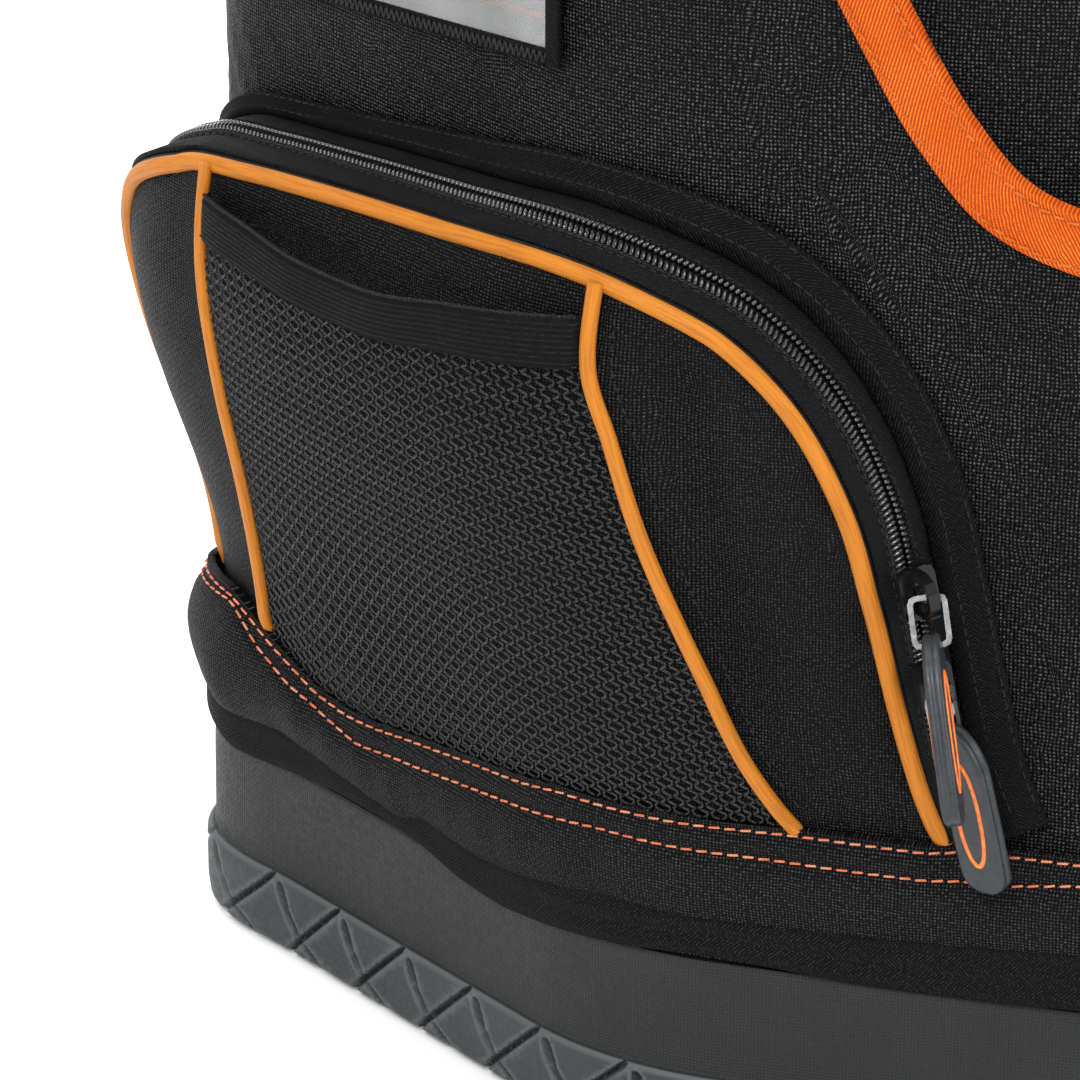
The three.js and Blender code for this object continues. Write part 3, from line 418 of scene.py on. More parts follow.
# ---------------------------------------------------------------- materials
class Shade:
    def __init__(self, name, color=(0.5, 0.5, 0.5), rough=0.6, metal=0.0, spec=0.5, sheen=0.0, coat=0.0,
                 trans=0.0, ior=1.45):
        self.m = bpy.data.materials.new(name)
        self.m.use_nodes = True
        self.t = self.m.node_tree
        self.t.nodes.clear()
        self.out = self.t.nodes.new("ShaderNodeOutputMaterial")
        self.b = self.t.nodes.new("ShaderNodeBsdfPrincipled")
        self.t.links.new(self.b.outputs[0], self.out.inputs[0])
        b = self.b.inputs
        b["Base Color"].default_value = (*color, 1)
        b["Roughness"].default_value = rough
        b["Metallic"].default_value = metal
        b["Specular IOR Level"].default_value = spec
        b["Sheen Weight"].default_value = sheen
        b["Sheen Roughness"].default_value = 0.4
        b["Coat Weight"].default_value = coat
        b["Coat Roughness"].default_value = 0.15
        b["Transmission Weight"].default_value = trans
        b["IOR"].default_value = ior

    def put(self, socket, value):
        if hasattr(value, "links") or isinstance(value, bpy.types.NodeSocket):
            self.t.links.new(value, socket)
        else:
            socket.default_value = value

    def math(self, op, a, b=0.0, c=0.0, clamp=False):
        n = self.t.nodes.new("ShaderNodeMath")
        n.operation = op
        n.use_clamp = clamp
        for k, v in enumerate((a, b, c)):
            self.put(n.inputs[k], v)
        return n.outputs[0]

    def uv(self):
        c = self.t.nodes.new("ShaderNodeTexCoord")
        s = self.t.nodes.new("ShaderNodeSeparateXYZ")
        self.t.links.new(c.outputs["UV"], s.inputs[0])
        return s.outputs[0], s.outputs[1], c.outputs["UV"]

    def pos(self):
        c = self.t.nodes.new("ShaderNodeTexCoord")
        v = self.t.nodes.new("ShaderNodeVectorMath")
        v.operation = "SCALE"
        v.inputs["Scale"].default_value = 1000
        self.t.links.new(c.outputs["Object"], v.inputs[0])
        s = self.t.nodes.new("ShaderNodeSeparateXYZ")
        self.t.links.new(v.outputs[0], s.inputs[0])
        return s.outputs[0], s.outputs[1], s.outputs[2], v.outputs[0]

    def noise(self, vector, size, detail=3.0, rough=0.55, dims="3D"):
        n = self.t.nodes.new("ShaderNodeTexNoise")
        n.noise_dimensions = dims
        n.inputs["Scale"].default_value = 1.0 / size
        n.inputs["Detail"].default_value = detail
        n.inputs["Roughness"].default_value = rough
        self.t.links.new(vector, n.inputs["Vector"])
        return n.outputs[0]

    def combine(self, x, y, z=0.0):
        n = self.t.nodes.new("ShaderNodeCombineXYZ")
        for k, v in enumerate((x, y, z)):
            self.put(n.inputs[k], v)
        return n.outputs[0]

    def span(self, v, a, b, c=0.0, d=1.0, ease=True):
        n = self.t.nodes.new("ShaderNodeMapRange")
        n.interpolation_type = "SMOOTHSTEP" if ease else "LINEAR"
        for k, x in zip(("From Min", "From Max", "To Min", "To Max"), (a, b, c, d)):
            n.inputs[k].default_value = x
        self.put(n.inputs["Value"], v)
        return n.outputs["Result"]

    def blend(self, f, a, b):
        n = self.t.nodes.new("ShaderNodeMix")
        n.data_type = "RGBA"
        self.put(n.inputs[0], f)
        for k, v in ((6, a), (7, b)):
            self.put(n.inputs[k], (*v, 1) if isinstance(v, tuple) else v)
        return n.outputs[2]

    def bump(self, height, depth, strength=1.0, normal=None):
        n = self.t.nodes.new("ShaderNodeBump")
        n.inputs["Strength"].default_value = strength
        n.inputs["Distance"].default_value = depth * 0.001
        self.put(n.inputs["Height"], height)
        if normal is not None:
            self.t.links.new(normal, n.inputs["Normal"])
        return n.outputs[0]

    def color(self, v):
        self.put(self.b.inputs["Base Color"], v)

    def rough(self, v):
        self.put(self.b.inputs["Roughness"], v)

    def normal(self, v):
        self.put(self.b.inputs["Normal"], v)

    def weave(self, u, v, pitch):
        """Height of a plain weave of threads."""
        cu, cv = self.math("DIVIDE", u, pitch), self.math("DIVIDE", v, pitch)
        fu = self.math("SUBTRACT", self.math("FRACT", cu), 0.5)
        fv = self.math("SUBTRACT", self.math("FRACT", cv), 0.5)
        par = self.math("FLOORED_MODULO", self.math("ADD", self.math("FLOOR", cu), self.math("FLOOR", cv)), 2.0)

        def thread(a, b):
            arch = self.math("SUBTRACT", 1.0, self.math("MULTIPLY", self.math("MULTIPLY", a, a), 4.0))
            over = self.math("MULTIPLY_ADD", self.math("COSINE", self.math("MULTIPLY", b, PI)), 0.55, 0.45)
            return self.math("MULTIPLY", arch, over)

        first, second = thread(fu, fv), thread(fv, fu)
        gap = self.math("SUBTRACT", second, first)
        return self.math("MULTIPLY_ADD", gap, par, first)

    def lines(self, x, pitch):
        """Height of ribs across x, 0 to 1."""
        w = self.math("SINE", self.math("MULTIPLY", x, 2 * PI / pitch))
        return self.math("MULTIPLY_ADD", w, 0.5, 0.5)

    def herring(self, u, v, pitch, width):
        """Chevrons: ribs that lean one way and then the other across v."""
        fold = self.math("PINGPONG", v, width)
        return self.lines(self.math("MULTIPLY_ADD", fold, 1.0, u), pitch)


def cloth(name, dark, light, pitch=0.74, depth=0.2, rough=0.8, sheen=0.0, mode="weave", width=4.0, spec=0.09,
          cloud=40.0, source="uv"):
    s = Shade(name, light, rough, spec=spec, sheen=sheen)
    if source == "uv":
        u, v, vec = s.uv()
    else:
        u, _, v, vec = s.pos()
    wob = s.noise(vec, 9.0, 1.0)
    u2 = s.math("ADD", u, s.math("MULTIPLY", s.math("SUBTRACT", wob, 0.5), pitch * 0.9))
    if mode == "weave":
        h = s.weave(u2, v, pitch)
    elif mode == "herring":
        h = s.herring(u2, v, pitch, width)
    elif mode == "twill":
        h = s.lines(s.math("MULTIPLY_ADD", v, 1.15, u2), pitch)
    elif mode == "rib":
        h = s.lines(v, pitch)
    elif mode == "cross":
        a = s.lines(s.math("ADD", u2, v), pitch)
        b = s.lines(s.math("SUBTRACT", u2, v), pitch)
        h = s.math("MULTIPLY", a, b)
    grain = s.noise(vec, pitch * 0.9, 2.0)
    soft = s.noise(vec, cloud, 3.0)
    # The lighter colour goes on the raised thread crowns, on a share of the threads that the grain noise picks:
    # painted glints. The darker colour is the cloth's own black.
    f = s.math("MULTIPLY", s.span(h, 0.5, 1.0), s.span(grain, 0.4, 0.66, 0.05, 1.35))
    f = s.math("MULTIPLY", f, s.span(soft, 0.3, 0.7, 0.65, 1.0), clamp=True)
    s.color(s.blend(f, dark, light))
    s.rough(s.span(grain, 0.3, 0.7, rough - 0.14, min(rough + 0.12, 1)))
    hh = s.math("MULTIPLY_ADD", grain, 0.45, h)
    s.normal(s.bump(hh, depth))
    return s.m


ballistic = cloth("cloth_ballistic", (0.0008, 0.0008, 0.0009), (0.078, 0.080, 0.082), 0.8, 0.36, 0.5)
pocket_cloth = cloth("cloth_pocket", (0.0009, 0.0009, 0.0010), (0.040, 0.041, 0.042), 0.68, 0.26, 0.55)
skirt_cloth = cloth("cloth_skirt", (0.0009, 0.0009, 0.0009), (0.050, 0.051, 0.053), 0.72, 0.3, 0.55)
flange_tape = cloth("tape_herringbone", (0.0012, 0.0012, 0.0012), (0.014, 0.0145, 0.015), 0.85, 0.16, 0.7, 0,
                    "herring", 4.2)
tray_tape = cloth("tape_tray", (0.0018, 0.0018, 0.0018), (0.022, 0.022, 0.0225), 0.9, 0.2, 0.72, 0, "herring", 2.6)
gusset_cloth = cloth("tape_zip", (0.0035, 0.0037, 0.004), (0.013, 0.014, 0.015), 0.8, 0.12, 0.72, 0, "twill")
hem_cloth = cloth("hem_elastic", (0.0028, 0.0028, 0.0028), (0.013, 0.013, 0.013), 0.95, 0.16, 0.75, 0, "rib")
webbing_cloth = cloth("webbing", (0.0015, 0.0015, 0.0015), (0.018, 0.0185, 0.02), 1.3, 0.25, 0.6, 0, "cross")
air_mesh = cloth("air_mesh", (0.001, 0.001, 0.001), (0.02, 0.021, 0.022), 2.4, 0.6, 0.8, 0, "cross",
                 source="pos")
strap_cloth = cloth("strap_cloth", (0.0015, 0.0015, 0.0015), (0.02, 0.021, 0.022), 0.8, 0.2, 0.7)
net_fibre = cloth("net_fibre", (0.004, 0.004, 0.004), (0.095, 0.098, 0.102), 0.55, 0.1, 0.38, 0, "twill", spec=0.35)
edge_cord = cloth("edge_cord", (0.006, 0.006, 0.006), (0.06, 0.06, 0.06), 0.6, 0.1, 0.6, 0, "twill")


def orange_tape():
    s = Shade("orange_twill", (0.9, 0.23, 0.02), 0.7, spec=0.15)
    u, v, vec = s.uv()
    h = s.lines(s.math("MULTIPLY_ADD", v, 1.0, u), 0.95)
    cross = s.lines(s.math("MULTIPLY_ADD", v, -1.0, u), 0.8)
    grain = s.noise(vec, 0.8, 2.0)
    # Lighter orange on the twill's rib crowns is a painted highlight and the deep red between the ribs is painted
    # shade; the soft noise varies the tone of the lighter orange.
    f = s.math("MULTIPLY", s.span(h, 0.2, 0.9), s.span(grain, 0.3, 0.65, 0.5, 1.0), clamp=True)
    soft = s.noise(vec, 14, 2.0)
    light = s.blend(s.span(soft, 0.35, 0.65), (0.66, 0.135, 0.007), (0.76, 0.19, 0.018))
    s.color(s.blend(f, (0.36, 0.036, 0.002), light))
    s.normal(s.bump(s.math("MULTIPLY_ADD", cross, 0.3, h), 0.22))
    return s.m


def orange_piping():
    s = Shade("orange_piping", (0.85, 0.28, 0.03), 0.5, spec=0.25)
    u, v, _ = s.uv()
    long = s.noise(s.combine(s.math("MULTIPLY", u, 0.06), v), 0.7, 3.0)
    line = s.span(s.math("ABSOLUTE", s.math("SUBTRACT", v, 3.3)), 0.0, 0.5, 0.55, 1.0)
    f = s.math("MULTIPLY", s.span(long, 0.3, 0.6, 0.45, 1.0), line, clamp=True)
    s.color(s.blend(f, (0.24, 0.062, 0.004), (0.43, 0.145, 0.010)))
    fine = s.noise(s.combine(u, s.math("MULTIPLY", v, 3.0)), 1.1, 3.0)
    s.normal(s.bump(s.math("MULTIPLY_ADD", fine, 0.8, long), 0.16))
    s.rough(s.span(fine, 0.3, 0.7, 0.42, 0.62))
    return s.m


def thread(name, ply_highlight, body):
    s = Shade(name, body, 0.55, spec=0.2)
    u, v, _ = s.uv()
    ply = s.lines(s.math("MULTIPLY_ADD", v, 2.0, u), 0.55)
    *_, p = s.pos()
    # The crests of the twisted plies take the pale colour: a painted highlight on the thread.
    f = s.math("MULTIPLY", ply, s.span(s.noise(p, 3.0, 2.0), 0.35, 0.65, 0.4, 1.0))
    s.color(s.blend(f, body, ply_highlight))
    s.normal(s.bump(ply, 0.08))
    return s.m


def rubber(name, dark, light, dots, worn):
    s = Shade(name, light, 0.55, spec=0.25)
    *_, p = s.pos()
    u, v, _ = s.uv()
    soft = s.noise(p, 60, 3.0)
    fine = s.noise(p, 1.4, 3.0, 0.6)
    speck = s.span(s.noise(p, 0.5, 1.0), 0.62, 0.72)
    c = s.blend(s.span(soft, 0.3, 0.7), dark, light)
    scuff = s.math("MULTIPLY", s.span(s.noise(s.combine(s.math("MULTIPLY", u, 0.2), v), 3.0, 4.0), 0.6, 0.8), worn)
    c = s.blend(scuff, c, (0.07, 0.074, 0.072))
    c = s.blend(s.math("MULTIPLY", speck, 0.35), c, tuple(0.45 * k for k in dark))
    # Where dots is set, the pits of the fine weave texture are darkened: painted shade.
    if dots:
        c = s.blend(s.span(s.weave(u, v, 0.75), 0.3, 1.0), s.blend(0.45, c, (0.0, 0.0, 0.0)), c)
    else:
        # The tread is lighter along the rims of its grooves and along its top edge.
        groove_rim = s.t.nodes.new("ShaderNodeAttribute")
        groove_rim.attribute_name = "groove_rim"
        c = s.blend(s.math("MULTIPLY", groove_rim.outputs["Fac"], 0.55), c, (0.11, 0.12, 0.125))
    s.color(c)
    grain = s.weave(u, v, 0.7)
    h = s.math("MULTIPLY_ADD", grain, dots, fine)
    s.normal(s.bump(h, 0.09))
    s.rough(s.span(fine, 0.3, 0.7, 0.46, 0.64))
    return s.m


def plain(name, a, b, rough, depth, size, metal=0.0, spec=0.5, coat=0.0):
    s = Shade(name, b, rough, metal, spec, coat=coat)
    *_, p = s.pos()
    n = s.noise(p, size, 3.0)
    s.color(s.blend(s.span(n, 0.3, 0.7), a, b))
    fine = s.noise(p, size * 0.25, 2.0)
    s.rough(s.span(fine, 0.3, 0.7, rough * 0.8, min(rough * 1.2, 1.0)))
    s.normal(s.bump(fine, depth))
    return s.m


def clear_card():
    s = Shade("card_film", (0.6, 0.61, 0.62), 0.12, spec=0.3, trans=0.8, ior=1.3)
    *_, p = s.pos()
    s.normal(s.bump(s.noise(p, 22, 2.0), 0.5))
    s.rough(s.span(s.noise(p, 6, 3.0), 0.3, 0.7, 0.08, 0.22))
    s.color(s.blend(s.span(s.noise(p, 30, 2.0), 0.35, 0.65), (0.55, 0.56, 0.56), (0.7, 0.71, 0.72)))
    return s.m


tape_orange, piping_orange = orange_tape(), orange_piping()
thread_orange = thread("thread_orange", (0.75, 0.42, 0.25), (0.5, 0.06, 0.008))
thread_tape = thread("thread_tape", (0.62, 0.19, 0.03), (0.36, 0.05, 0.004))
# The black thread also colours the welt beside the outer piping, where it stands in for the seam's shadow: a painted
# shadow.
thread_and_shade_black = thread("thread_and_shade_black", (0.03, 0.03, 0.031), (0.004, 0.004, 0.004))
rubber_wall = rubber("rubber_wall", (0.016, 0.0182, 0.0168), (0.027, 0.030, 0.0282), 1.1, 0.12)
rubber_tread = rubber("rubber_tread", (0.022, 0.026, 0.0275), (0.034, 0.039, 0.041), 0.0, 0.25)
coil_black = plain("coil_black", (0.002, 0.002, 0.002), (0.008, 0.008, 0.0085), 0.2, 0.02, 1.5, spec=0.6, coat=0.6)
slider_black = plain("slider_black", (0.002, 0.002, 0.002), (0.005, 0.005, 0.0052), 0.2, 0.002, 6.0, spec=0.25,
                     coat=0.12)
steel = plain("link_steel", (0.2, 0.203, 0.207), (0.27, 0.273, 0.277), 0.2, 0.002, 6.0, metal=1.0)
moulded = plain("pull_grey", (0.018, 0.021, 0.024), (0.028, 0.032, 0.036), 0.34, 0.03, 2.5, spec=0.35)
inlay = plain("pull_inlay", (0.6, 0.09, 0.006), (0.75, 0.2, 0.03), 0.35, 0.03, 1.5)
card_film = clear_card()
card_grey = plain("card_grey", (0.06, 0.062, 0.063), (0.16, 0.163, 0.167), 0.55, 0.2, 12)
card_olive = plain("card_olive", (0.03, 0.034, 0.026), (0.06, 0.065, 0.05), 0.6, 0.15, 6)


def thinned(o):
    """Takes out the triangles that add least, first those of the flat hidden sides."""
    if len(o.data.polygons) > HEAVY and not o.name.startswith(("net_", "zip_coils", "top_zip_coils")):
        cut = o.modifiers.new("thin", "DECIMATE")
        cut.ratio = TREAD_SHARE if o.name == "tray" else KEPT_SHARE
        bpy.context.view_layer.objects.active = o
        bpy.ops.object.modifier_apply(modifier=cut.name)


def done(o, body, nodes=(), slot=None):
    thinned(o)
    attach(o, body)
    if nodes:
        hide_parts(*nodes)
    return o


# ---------------------------------------------------------------- bag shell
def room_at(s):
    return 14 * smooth(s, 225, 300)


def bag_shell():
    cols = 264
    q = np.arange(cols) / cols * GIRTH
    s, side = around(q)
    z = np.concatenate([[4.0], np.linspace(30, 290, 48), np.linspace(296, 450, 44)])
    S, Z = np.meshgrid(s, z)
    side2 = np.broadcast_to(side, S.shape)
    base = wall(S, Z, 0, side2)
    covered = 1 - smooth(Z, 345, 372)
    out = -2.6 - room_at(S) - 0.9 * covered
    lump = ripple(base, 95, 3, (1, 1, 0.6)) * 1.5 + ripple(base, 34, 4) * 0.35
    lump = np.where(covered > 0.5, -np.abs(lump), lump)
    out = out + lump * (0.4 + 0.6 * smooth(Z, 200, 330)) * (1 - 0.8 * smooth(Z, 420, 450))
    out = out + 2.4 * np.exp(-((Z - 240) / 60.0) ** 2) * smooth(S, 262, 330)
    body = wall(S, Z, out, side2)
    rows = [body]
    edge = body[-1]
    for r in (0.97, 0.92, 0.84, 0.72, 0.56, 0.38, 0.2, 0.08):
        ring = edge * [r, r, 1] + [0, 0, 1.6 * (1 - r * r)]
        rows.append(ring[None])
    points = np.concatenate(rows, 0)
    qq = np.arange(cols + 1) / cols * GIRTH
    height = np.concatenate([z, 450 + np.cumsum(np.full(8, 14.0))])
    uv = np.stack(np.meshgrid(qq, height), -1)
    co, quads, uvs = grid(points, uv, wrap=True)
    n, rows_n = len(co), points.shape[0]
    co = np.vstack([co, [[0, 0, 451.7]], [[0, 0, 4.0]]])
    tri = np.vstack([fan((rows_n - 1) * cols, cols, n), fan(0, cols, n + 1, True)])
    tuv = co[tri][..., :2]
    build = Build().add(co, [quads, tri], [uvs, tuv])
    return done(build.make("bag_shell", ballistic), "bag", ["main_body"], "body_cloth")


# ---------------------------------------------------------------- scooped outer cloth and its tape
SCOOP = [(186, 352), (190, 325), (198, 297), (209, 271), (221, 248), (231, 232), (243, 219), (257, 213),
         (285, 210), (335, 209)]
scoop = Curve(SCOOP)


def scoop_offset(t, shift):
    p, q = scoop.at(t), scoop.tangent(t)
    return np.stack([p[..., 0] - q[..., 1] * shift, p[..., 1] + q[..., 0] * shift], -1)


_edge = scoop_offset(np.linspace(0, 1, 400), SCOOP_TAPE * 0.4)


def scoop_top(s):
    return np.interp(s, _edge[:, 0], _edge[:, 1], left=353.0)


def pocket_outline_distance(s, z):
    """Rough distance outside the side pocket's outline, in mm."""
    p = outline.p[::12]
    d = np.full(np.shape(s), 1e9)
    for a, b in p:
        d = np.minimum(d, np.hypot(s - a, z - b))
    return d


def panel_lift(S, Z, P, side):
    lift = -0.15 - 0.55 * (0.5 + 0.5 * ripple(P, 80, 11, (1, 1, 0.7))) - 0.18 * (0.5 + 0.5 * ripple(P, 26, 12))
    near = np.exp(-(np.maximum(pocket_outline_distance(S, Z) - 19, 0) / 9.0) ** 2)
    pucker = 0.5 * np.sin(S * 0.33 + Z * 0.21 + 3 * side) * near
    return lift - np.abs(pucker) * 0.8


def outer_cloth():
    half = np.concatenate([[5.0, 5.8, 7.5], np.arange(10.5, FRONT_MIDDLE - 1.5, 2.9), [FRONT_MIDDLE]])
    s = np.concatenate([half, half[-2::-1]])
    side = np.concatenate([np.ones(len(half)), -np.ones(len(half) - 1)])
    v = np.concatenate([np.linspace(0, 0.97, 84), [0.982, 0.992, 0.997, 1.0]])
    S, V = np.meshgrid(s, v)
    side2 = np.broadcast_to(side, S.shape)
    top = scoop_top(S)
    Z = mix(46.3, top, V)
    P = wall(S, Z, 0, side2)
    lift = panel_lift(S, Z, P, side2)
    edge = np.minimum(S - 5.0, top - Z)
    turn = 1.0 * (1 - rounded(edge, 2.0))
    outer = wall(S, Z, lift - turn, side2)
    inner = wall(S, Z, lift - 1.6, side2)
    x = np.where(side2 > 0, S, GIRTH - S)
    uv = np.stack([x, Z], -1)
    build = Build().add(*sheet(outer, inner, uv))
    # Top hem on the sides, and its row of stitches
    for sd in (1, -1):
        ss = np.linspace(9, 184, 90)
        for z in (349.0, 341.0):
            stitches(build, *laid(wall, ss, z, 0.12, sd), 3.0, 2.0, 0.24, 1)
        zz = np.linspace(90, 335, 120)
        stitches(build, *laid(wall, np.full_like(zz, 9.0), zz, 0.1, sd), 3.0, 2.0, 0.24, 1)
    return done(build.make("outer_cloth", [ballistic, thread_and_shade_black]), "bag", ["outer_panel"], "body_cloth")


def scoop_path(n=420):
    """Both sides of the scoop's middle line: along, height, tangent and side."""
    t = np.linspace(0, 1, n)
    p, q = scoop.at(t), scoop.tangent(t)
    rest = np.linspace(SCOOP[-1][0], FRONT_MIDDLE, 40)[1:]
    p = np.vstack([p, np.stack([rest, np.full_like(rest, SCOOP[-1][1])], -1)])
    q = np.vstack([q, np.tile([1.0, 0.0], (len(rest), 1))])
    p2, q2 = p[-2::-1], q[-2::-1]
    side = np.concatenate([np.ones(len(p)), -np.ones(len(p2))])
    return np.vstack([p, p2]), np.vstack([q, q2]), side


def scoop_tape():
    p, q, side = scoop_path()
    run = run_of(p)
    w = SCOOP_TAPE
    across = np.array([-0.5, -0.487, -0.46, -0.42, -0.36, -0.3, -0.2, -0.1, 0, 0.1, 0.2, 0.3, 0.36, 0.42, 0.46,
                       0.487, 0.5])
    A, _ = np.meshgrid(across, run)
    d = (0.5 - np.abs(A)) * w
    rise = 1.35 * rounded(d, 0.9)
    rise = rise - 0.32 * np.exp(-((np.abs(A) * w - 4.4) / 0.7) ** 2)
    wave = 0.14 * np.sin(run / 9.0)[:, None] + 0.1 * np.sin(run / 3.7 + 1)[:, None]
    S = p[:, 0][:, None] - q[:, 1][:, None] * A * w
    Z = p[:, 1][:, None] + q[:, 0][:, None] * A * w
    sd = np.broadcast_to(side[:, None], S.shape)
    outer = wall(S, Z, 0.35 + rise + wave * rise, sd)
    over = smooth(A * w, 4.2, 5.2)
    inner = wall(S, Z, 0.3 - 3.0 * over, sd)
    uv = np.stack(np.broadcast_arrays(run[:, None], A * w + 6), -1)
    build = Build().add(*sheet(outer.transpose(1, 0, 2), inner.transpose(1, 0, 2), uv.transpose(1, 0, 2)))
    for a in (-4.4, 4.4):
        S, Z = p[:, 0] - q[:, 1] * a, p[:, 1] + q[:, 0] * a
        path = wall(S, Z, 0.35 + 1.2, side)
        normal = wall(S, Z, 3.0, side) - path
        stitches(build, path, normal, 2.9, 2.3, 0.3, 1, slant=0.12)
    return done(build.make("scoop_tape", [tape_orange, thread_tape]), "bag", ["scoop_binding"], "orange_trim")


# ---------------------------------------------------------------- tray, tape and skirt
TREAD_PITCH = GIRTH / round(GIRTH / 22.8)
TREAD_PHASE = 12.9


def corner_push(s):
    """The tray's rear corners are squarer than the body's."""
    return 4.8 * np.exp(-((np.asarray(s, float) - 27) / 17.0) ** 2)


def tread_depth(q, z):
    """Depth of the tread's grooves at a place on the girth and height."""
    x = np.mod(q - BACK_FLAT - TREAD_PHASE, TREAD_PITCH)
    x = np.where(q > HALF_GIRTH, np.mod(GIRTH - q - BACK_FLAT - TREAD_PHASE, TREAD_PITCH), x)
    depth = np.zeros(np.broadcast(x, z).shape)
    edge = np.zeros(depth.shape)

    def groove(a, b, w0, w1, deep, lens=True):
        nonlocal depth, edge
        for shift in (-TREAD_PITCH, 0, TREAD_PITCH):
            ax, az, bx, bz = a[0] + shift, a[1], b[0] + shift, b[1]
            dx, dz = bx - ax, bz - az
            t = np.clip(((x - ax) * dx + (z - az) * dz) / (dx * dx + dz * dz), 0, 1)
            d = np.hypot(x - ax - t * dx, z - az - t * dz)
            w = mix(w0, w1, t) * (np.sqrt(np.clip(1 - (2 * t - 1) ** 2, 0, 1)) * 0.3 + 0.7 if lens else 1)
            depth = np.maximum(depth, deep * smooth(np.clip(1 - d / w, 0, 1), 0.0, 0.62))
            edge = np.maximum(edge, np.exp(-((d - w - 0.35) / 0.4) ** 2) * (d > w * 0.8))

    groove((0.2, 17.0), (2.6, 11.4), 1.5, 1.35, 2.5)
    groove((2.6, 11.4), (6.9, 5.8), 1.35, 1.0, 2.5)
    groove((1.0, 0.2), (19.9, 18.6), 0.85, 0.75, 1.9, False)
    groove((6.9, 5.8), (13.2, 1.6), 1.0, 1.25, 2.4)
    groove((13.2, 1.6), (22.6, -1.6), 1.25, 1.3, 2.4)
    return depth, edge * (depth < 0.4)


def tray():
    cols = 2000
    q = np.arange(cols) / cols * GIRTH
    zt = np.concatenate([[0.25, 0.6, 1.0], np.arange(1.7, 17.6, 0.72), [18.0, 18.5, 18.9, 19.2]])
    zw = np.array([19.7, 20.4, 22, 25, 29, 33, 37, 41, 44, 45.3, 45.8])
    z = np.concatenate([[0.0], zt, zw])
    Q, Z = np.meshgrid(q, z)
    s, side = around(Q)
    rise = 2.9 * np.clip(np.sin(np.clip(Z / 1.6, 0, 1) * PI / 2), 0, 1)
    slope = np.interp(Z, [0, 2, 8, 15, 18.3, 19.0, 19.4, 19.8], [0.0, 2.6, 3.3, 3.2, 2.9, 2.3, 1.5, 1.15])
    out = np.where(Z <= 19.3, np.minimum(slope, 0.2 + rise), np.interp(Z, [19.3, 19.8, 21, 44, 45.4, 45.8],
                                                                       [1.6, 1.15, 1.05, 0.5, 0.4, 0.0]))
    P = wall(s, Z, 0, side)
    deep, edge = tread_depth(Q, Z)
    edge = np.maximum(edge, np.exp(-((Z - 18.9) / 0.5) ** 2)) * (Z < 19.6)
    out = out - deep * (Z < 19.3) + corner_push(s)
    out = out + ripple(P, 70, 21) * 0.18 * smooth(Z, 20, 30) * (1 - smooth(Z, 42, 45.5))
    body = wall(s, Z, out, side)
    inside_z = np.array([45.8, 30.0, 3.2])
    Qi, Zi = np.meshgrid(q, inside_z)
    si, sdi = around(Qi)
    inside = wall(si, Zi, np.array([-1.6, -2.0, -2.0])[:, None] + corner_push(si), sdi)
    points = np.concatenate([body, inside], 0)
    qq = np.arange(cols + 1) / cols * GIRTH
    height = np.concatenate([z, [47, 62, 88]])
    uv = np.stack(np.meshgrid(qq, height), -1)
    co, quads, uvs = grid(points, uv, wrap=True)
    rows_n, n = len(points), len(co)
    co = np.vstack([co, [[0, 0, 3.2]], [[0, 0, 0.0]]])
    tri = np.vstack([fan((rows_n - 1) * cols, cols, n), fan(0, cols, n + 1, True)])
    build = Build()
    faces = [quads, tri]
    if volume(co - co.mean(0), faces) < 0:
        quads, uvs, tri = quads[:, ::-1], uvs[:, ::-1], tri[:, ::-1]
    low = quads.min(1) // cols < len(zt)
    build.add(co, [quads[low], quads[~low], tri], [uvs[low], uvs[~low], co[tri][..., :2]], closed=False)
    build.mats = [np.ones(low.sum(), int), np.zeros((~low).sum(), int), np.zeros(len(tri), int)]
    o = build.make("tray", [rubber_wall, rubber_tread], 40)
    # Share of the lighter colour along the rims of the grooves and the tread's top edge.
    groove_rim = o.data.attributes.new("groove_rim", "FLOAT", "POINT")
    value = np.zeros(len(o.data.vertices), np.float32)
    value[:edge.size] = edge.ravel()
    groove_rim.data.foreach_set("value", value)
    return done(o, "bag", ["base_tray"], "tray_rubber")


# Wavy lines of the tape and skirt round the left side: along and height
FOLD = [(-142, 57), (0, 60), (18, 65), (30, 63), (38, 58.5), (43.7, 55.5), (53, 56.1), (62.7, 56.9), (72, 56),
        (82.9, 54.4), (95.3, 52.8), (102.2, 51.9), (106, 52.6), (110.3, 54.9), (116, 54.1), (129.7, 53.2),
        (141.5, 54), (155, 56), (169.6, 57.3),
        (196, 56.8), (231, 58.4), (263.6, 60.1), (300, 59), (400, 58)]
RUBBER_TOP = [(-142, 47), (8, 49), (26, 50), (36, 46.5), (41.8, 44.4), (57.9, 45.7), (75.6, 47.4), (93, 47.5),
              (106.7, 46.5), (120, 43.5), (133.4, 42.6), (152, 44.7), (184.8, 48.2), (216.4, 46.1),
              (247.7, 46.3), (263, 47), (300, 46), (400, 46)]
SEAM_LOW = [(-142, 76), (20, 80), (47, 83), (56, 76), (67, 71), (80, 68), (91, 66), (110, 68), (142, 72), (164, 74),
            (206, 74), (247, 74), (263, 76), (320, 75), (400, 74)]
SEAM_HIGH = [(-142, 80), (20, 83), (47, 84), (59, 78), (75, 71.6), (86, 70.4), (96, 71), (110, 73), (126, 75),
             (142, 77), (154, 79), (206, 80), (263, 80), (320, 80), (400, 80)]


def lined(table):
    c = np.array(table, float)
    u = np.linspace(c[0, 0], c[-1, 0], 1600)
    v = np.interp(u, c[:, 0], c[:, 1])
    k = np.exp(-0.5 * (np.arange(-12, 13) / 5.0) ** 2)
    v = np.convolve(np.pad(v, 12, mode="edge"), k / k.sum(), "valid")
    return lambda s: np.interp(s, u, v)


fold_z, rubber_z, seam_low, seam_high = lined(FOLD), lined(RUBBER_TOP), lined(SEAM_LOW), lined(SEAM_HIGH)


def skirt_top(s):
    return seam_high(s) + 1.6


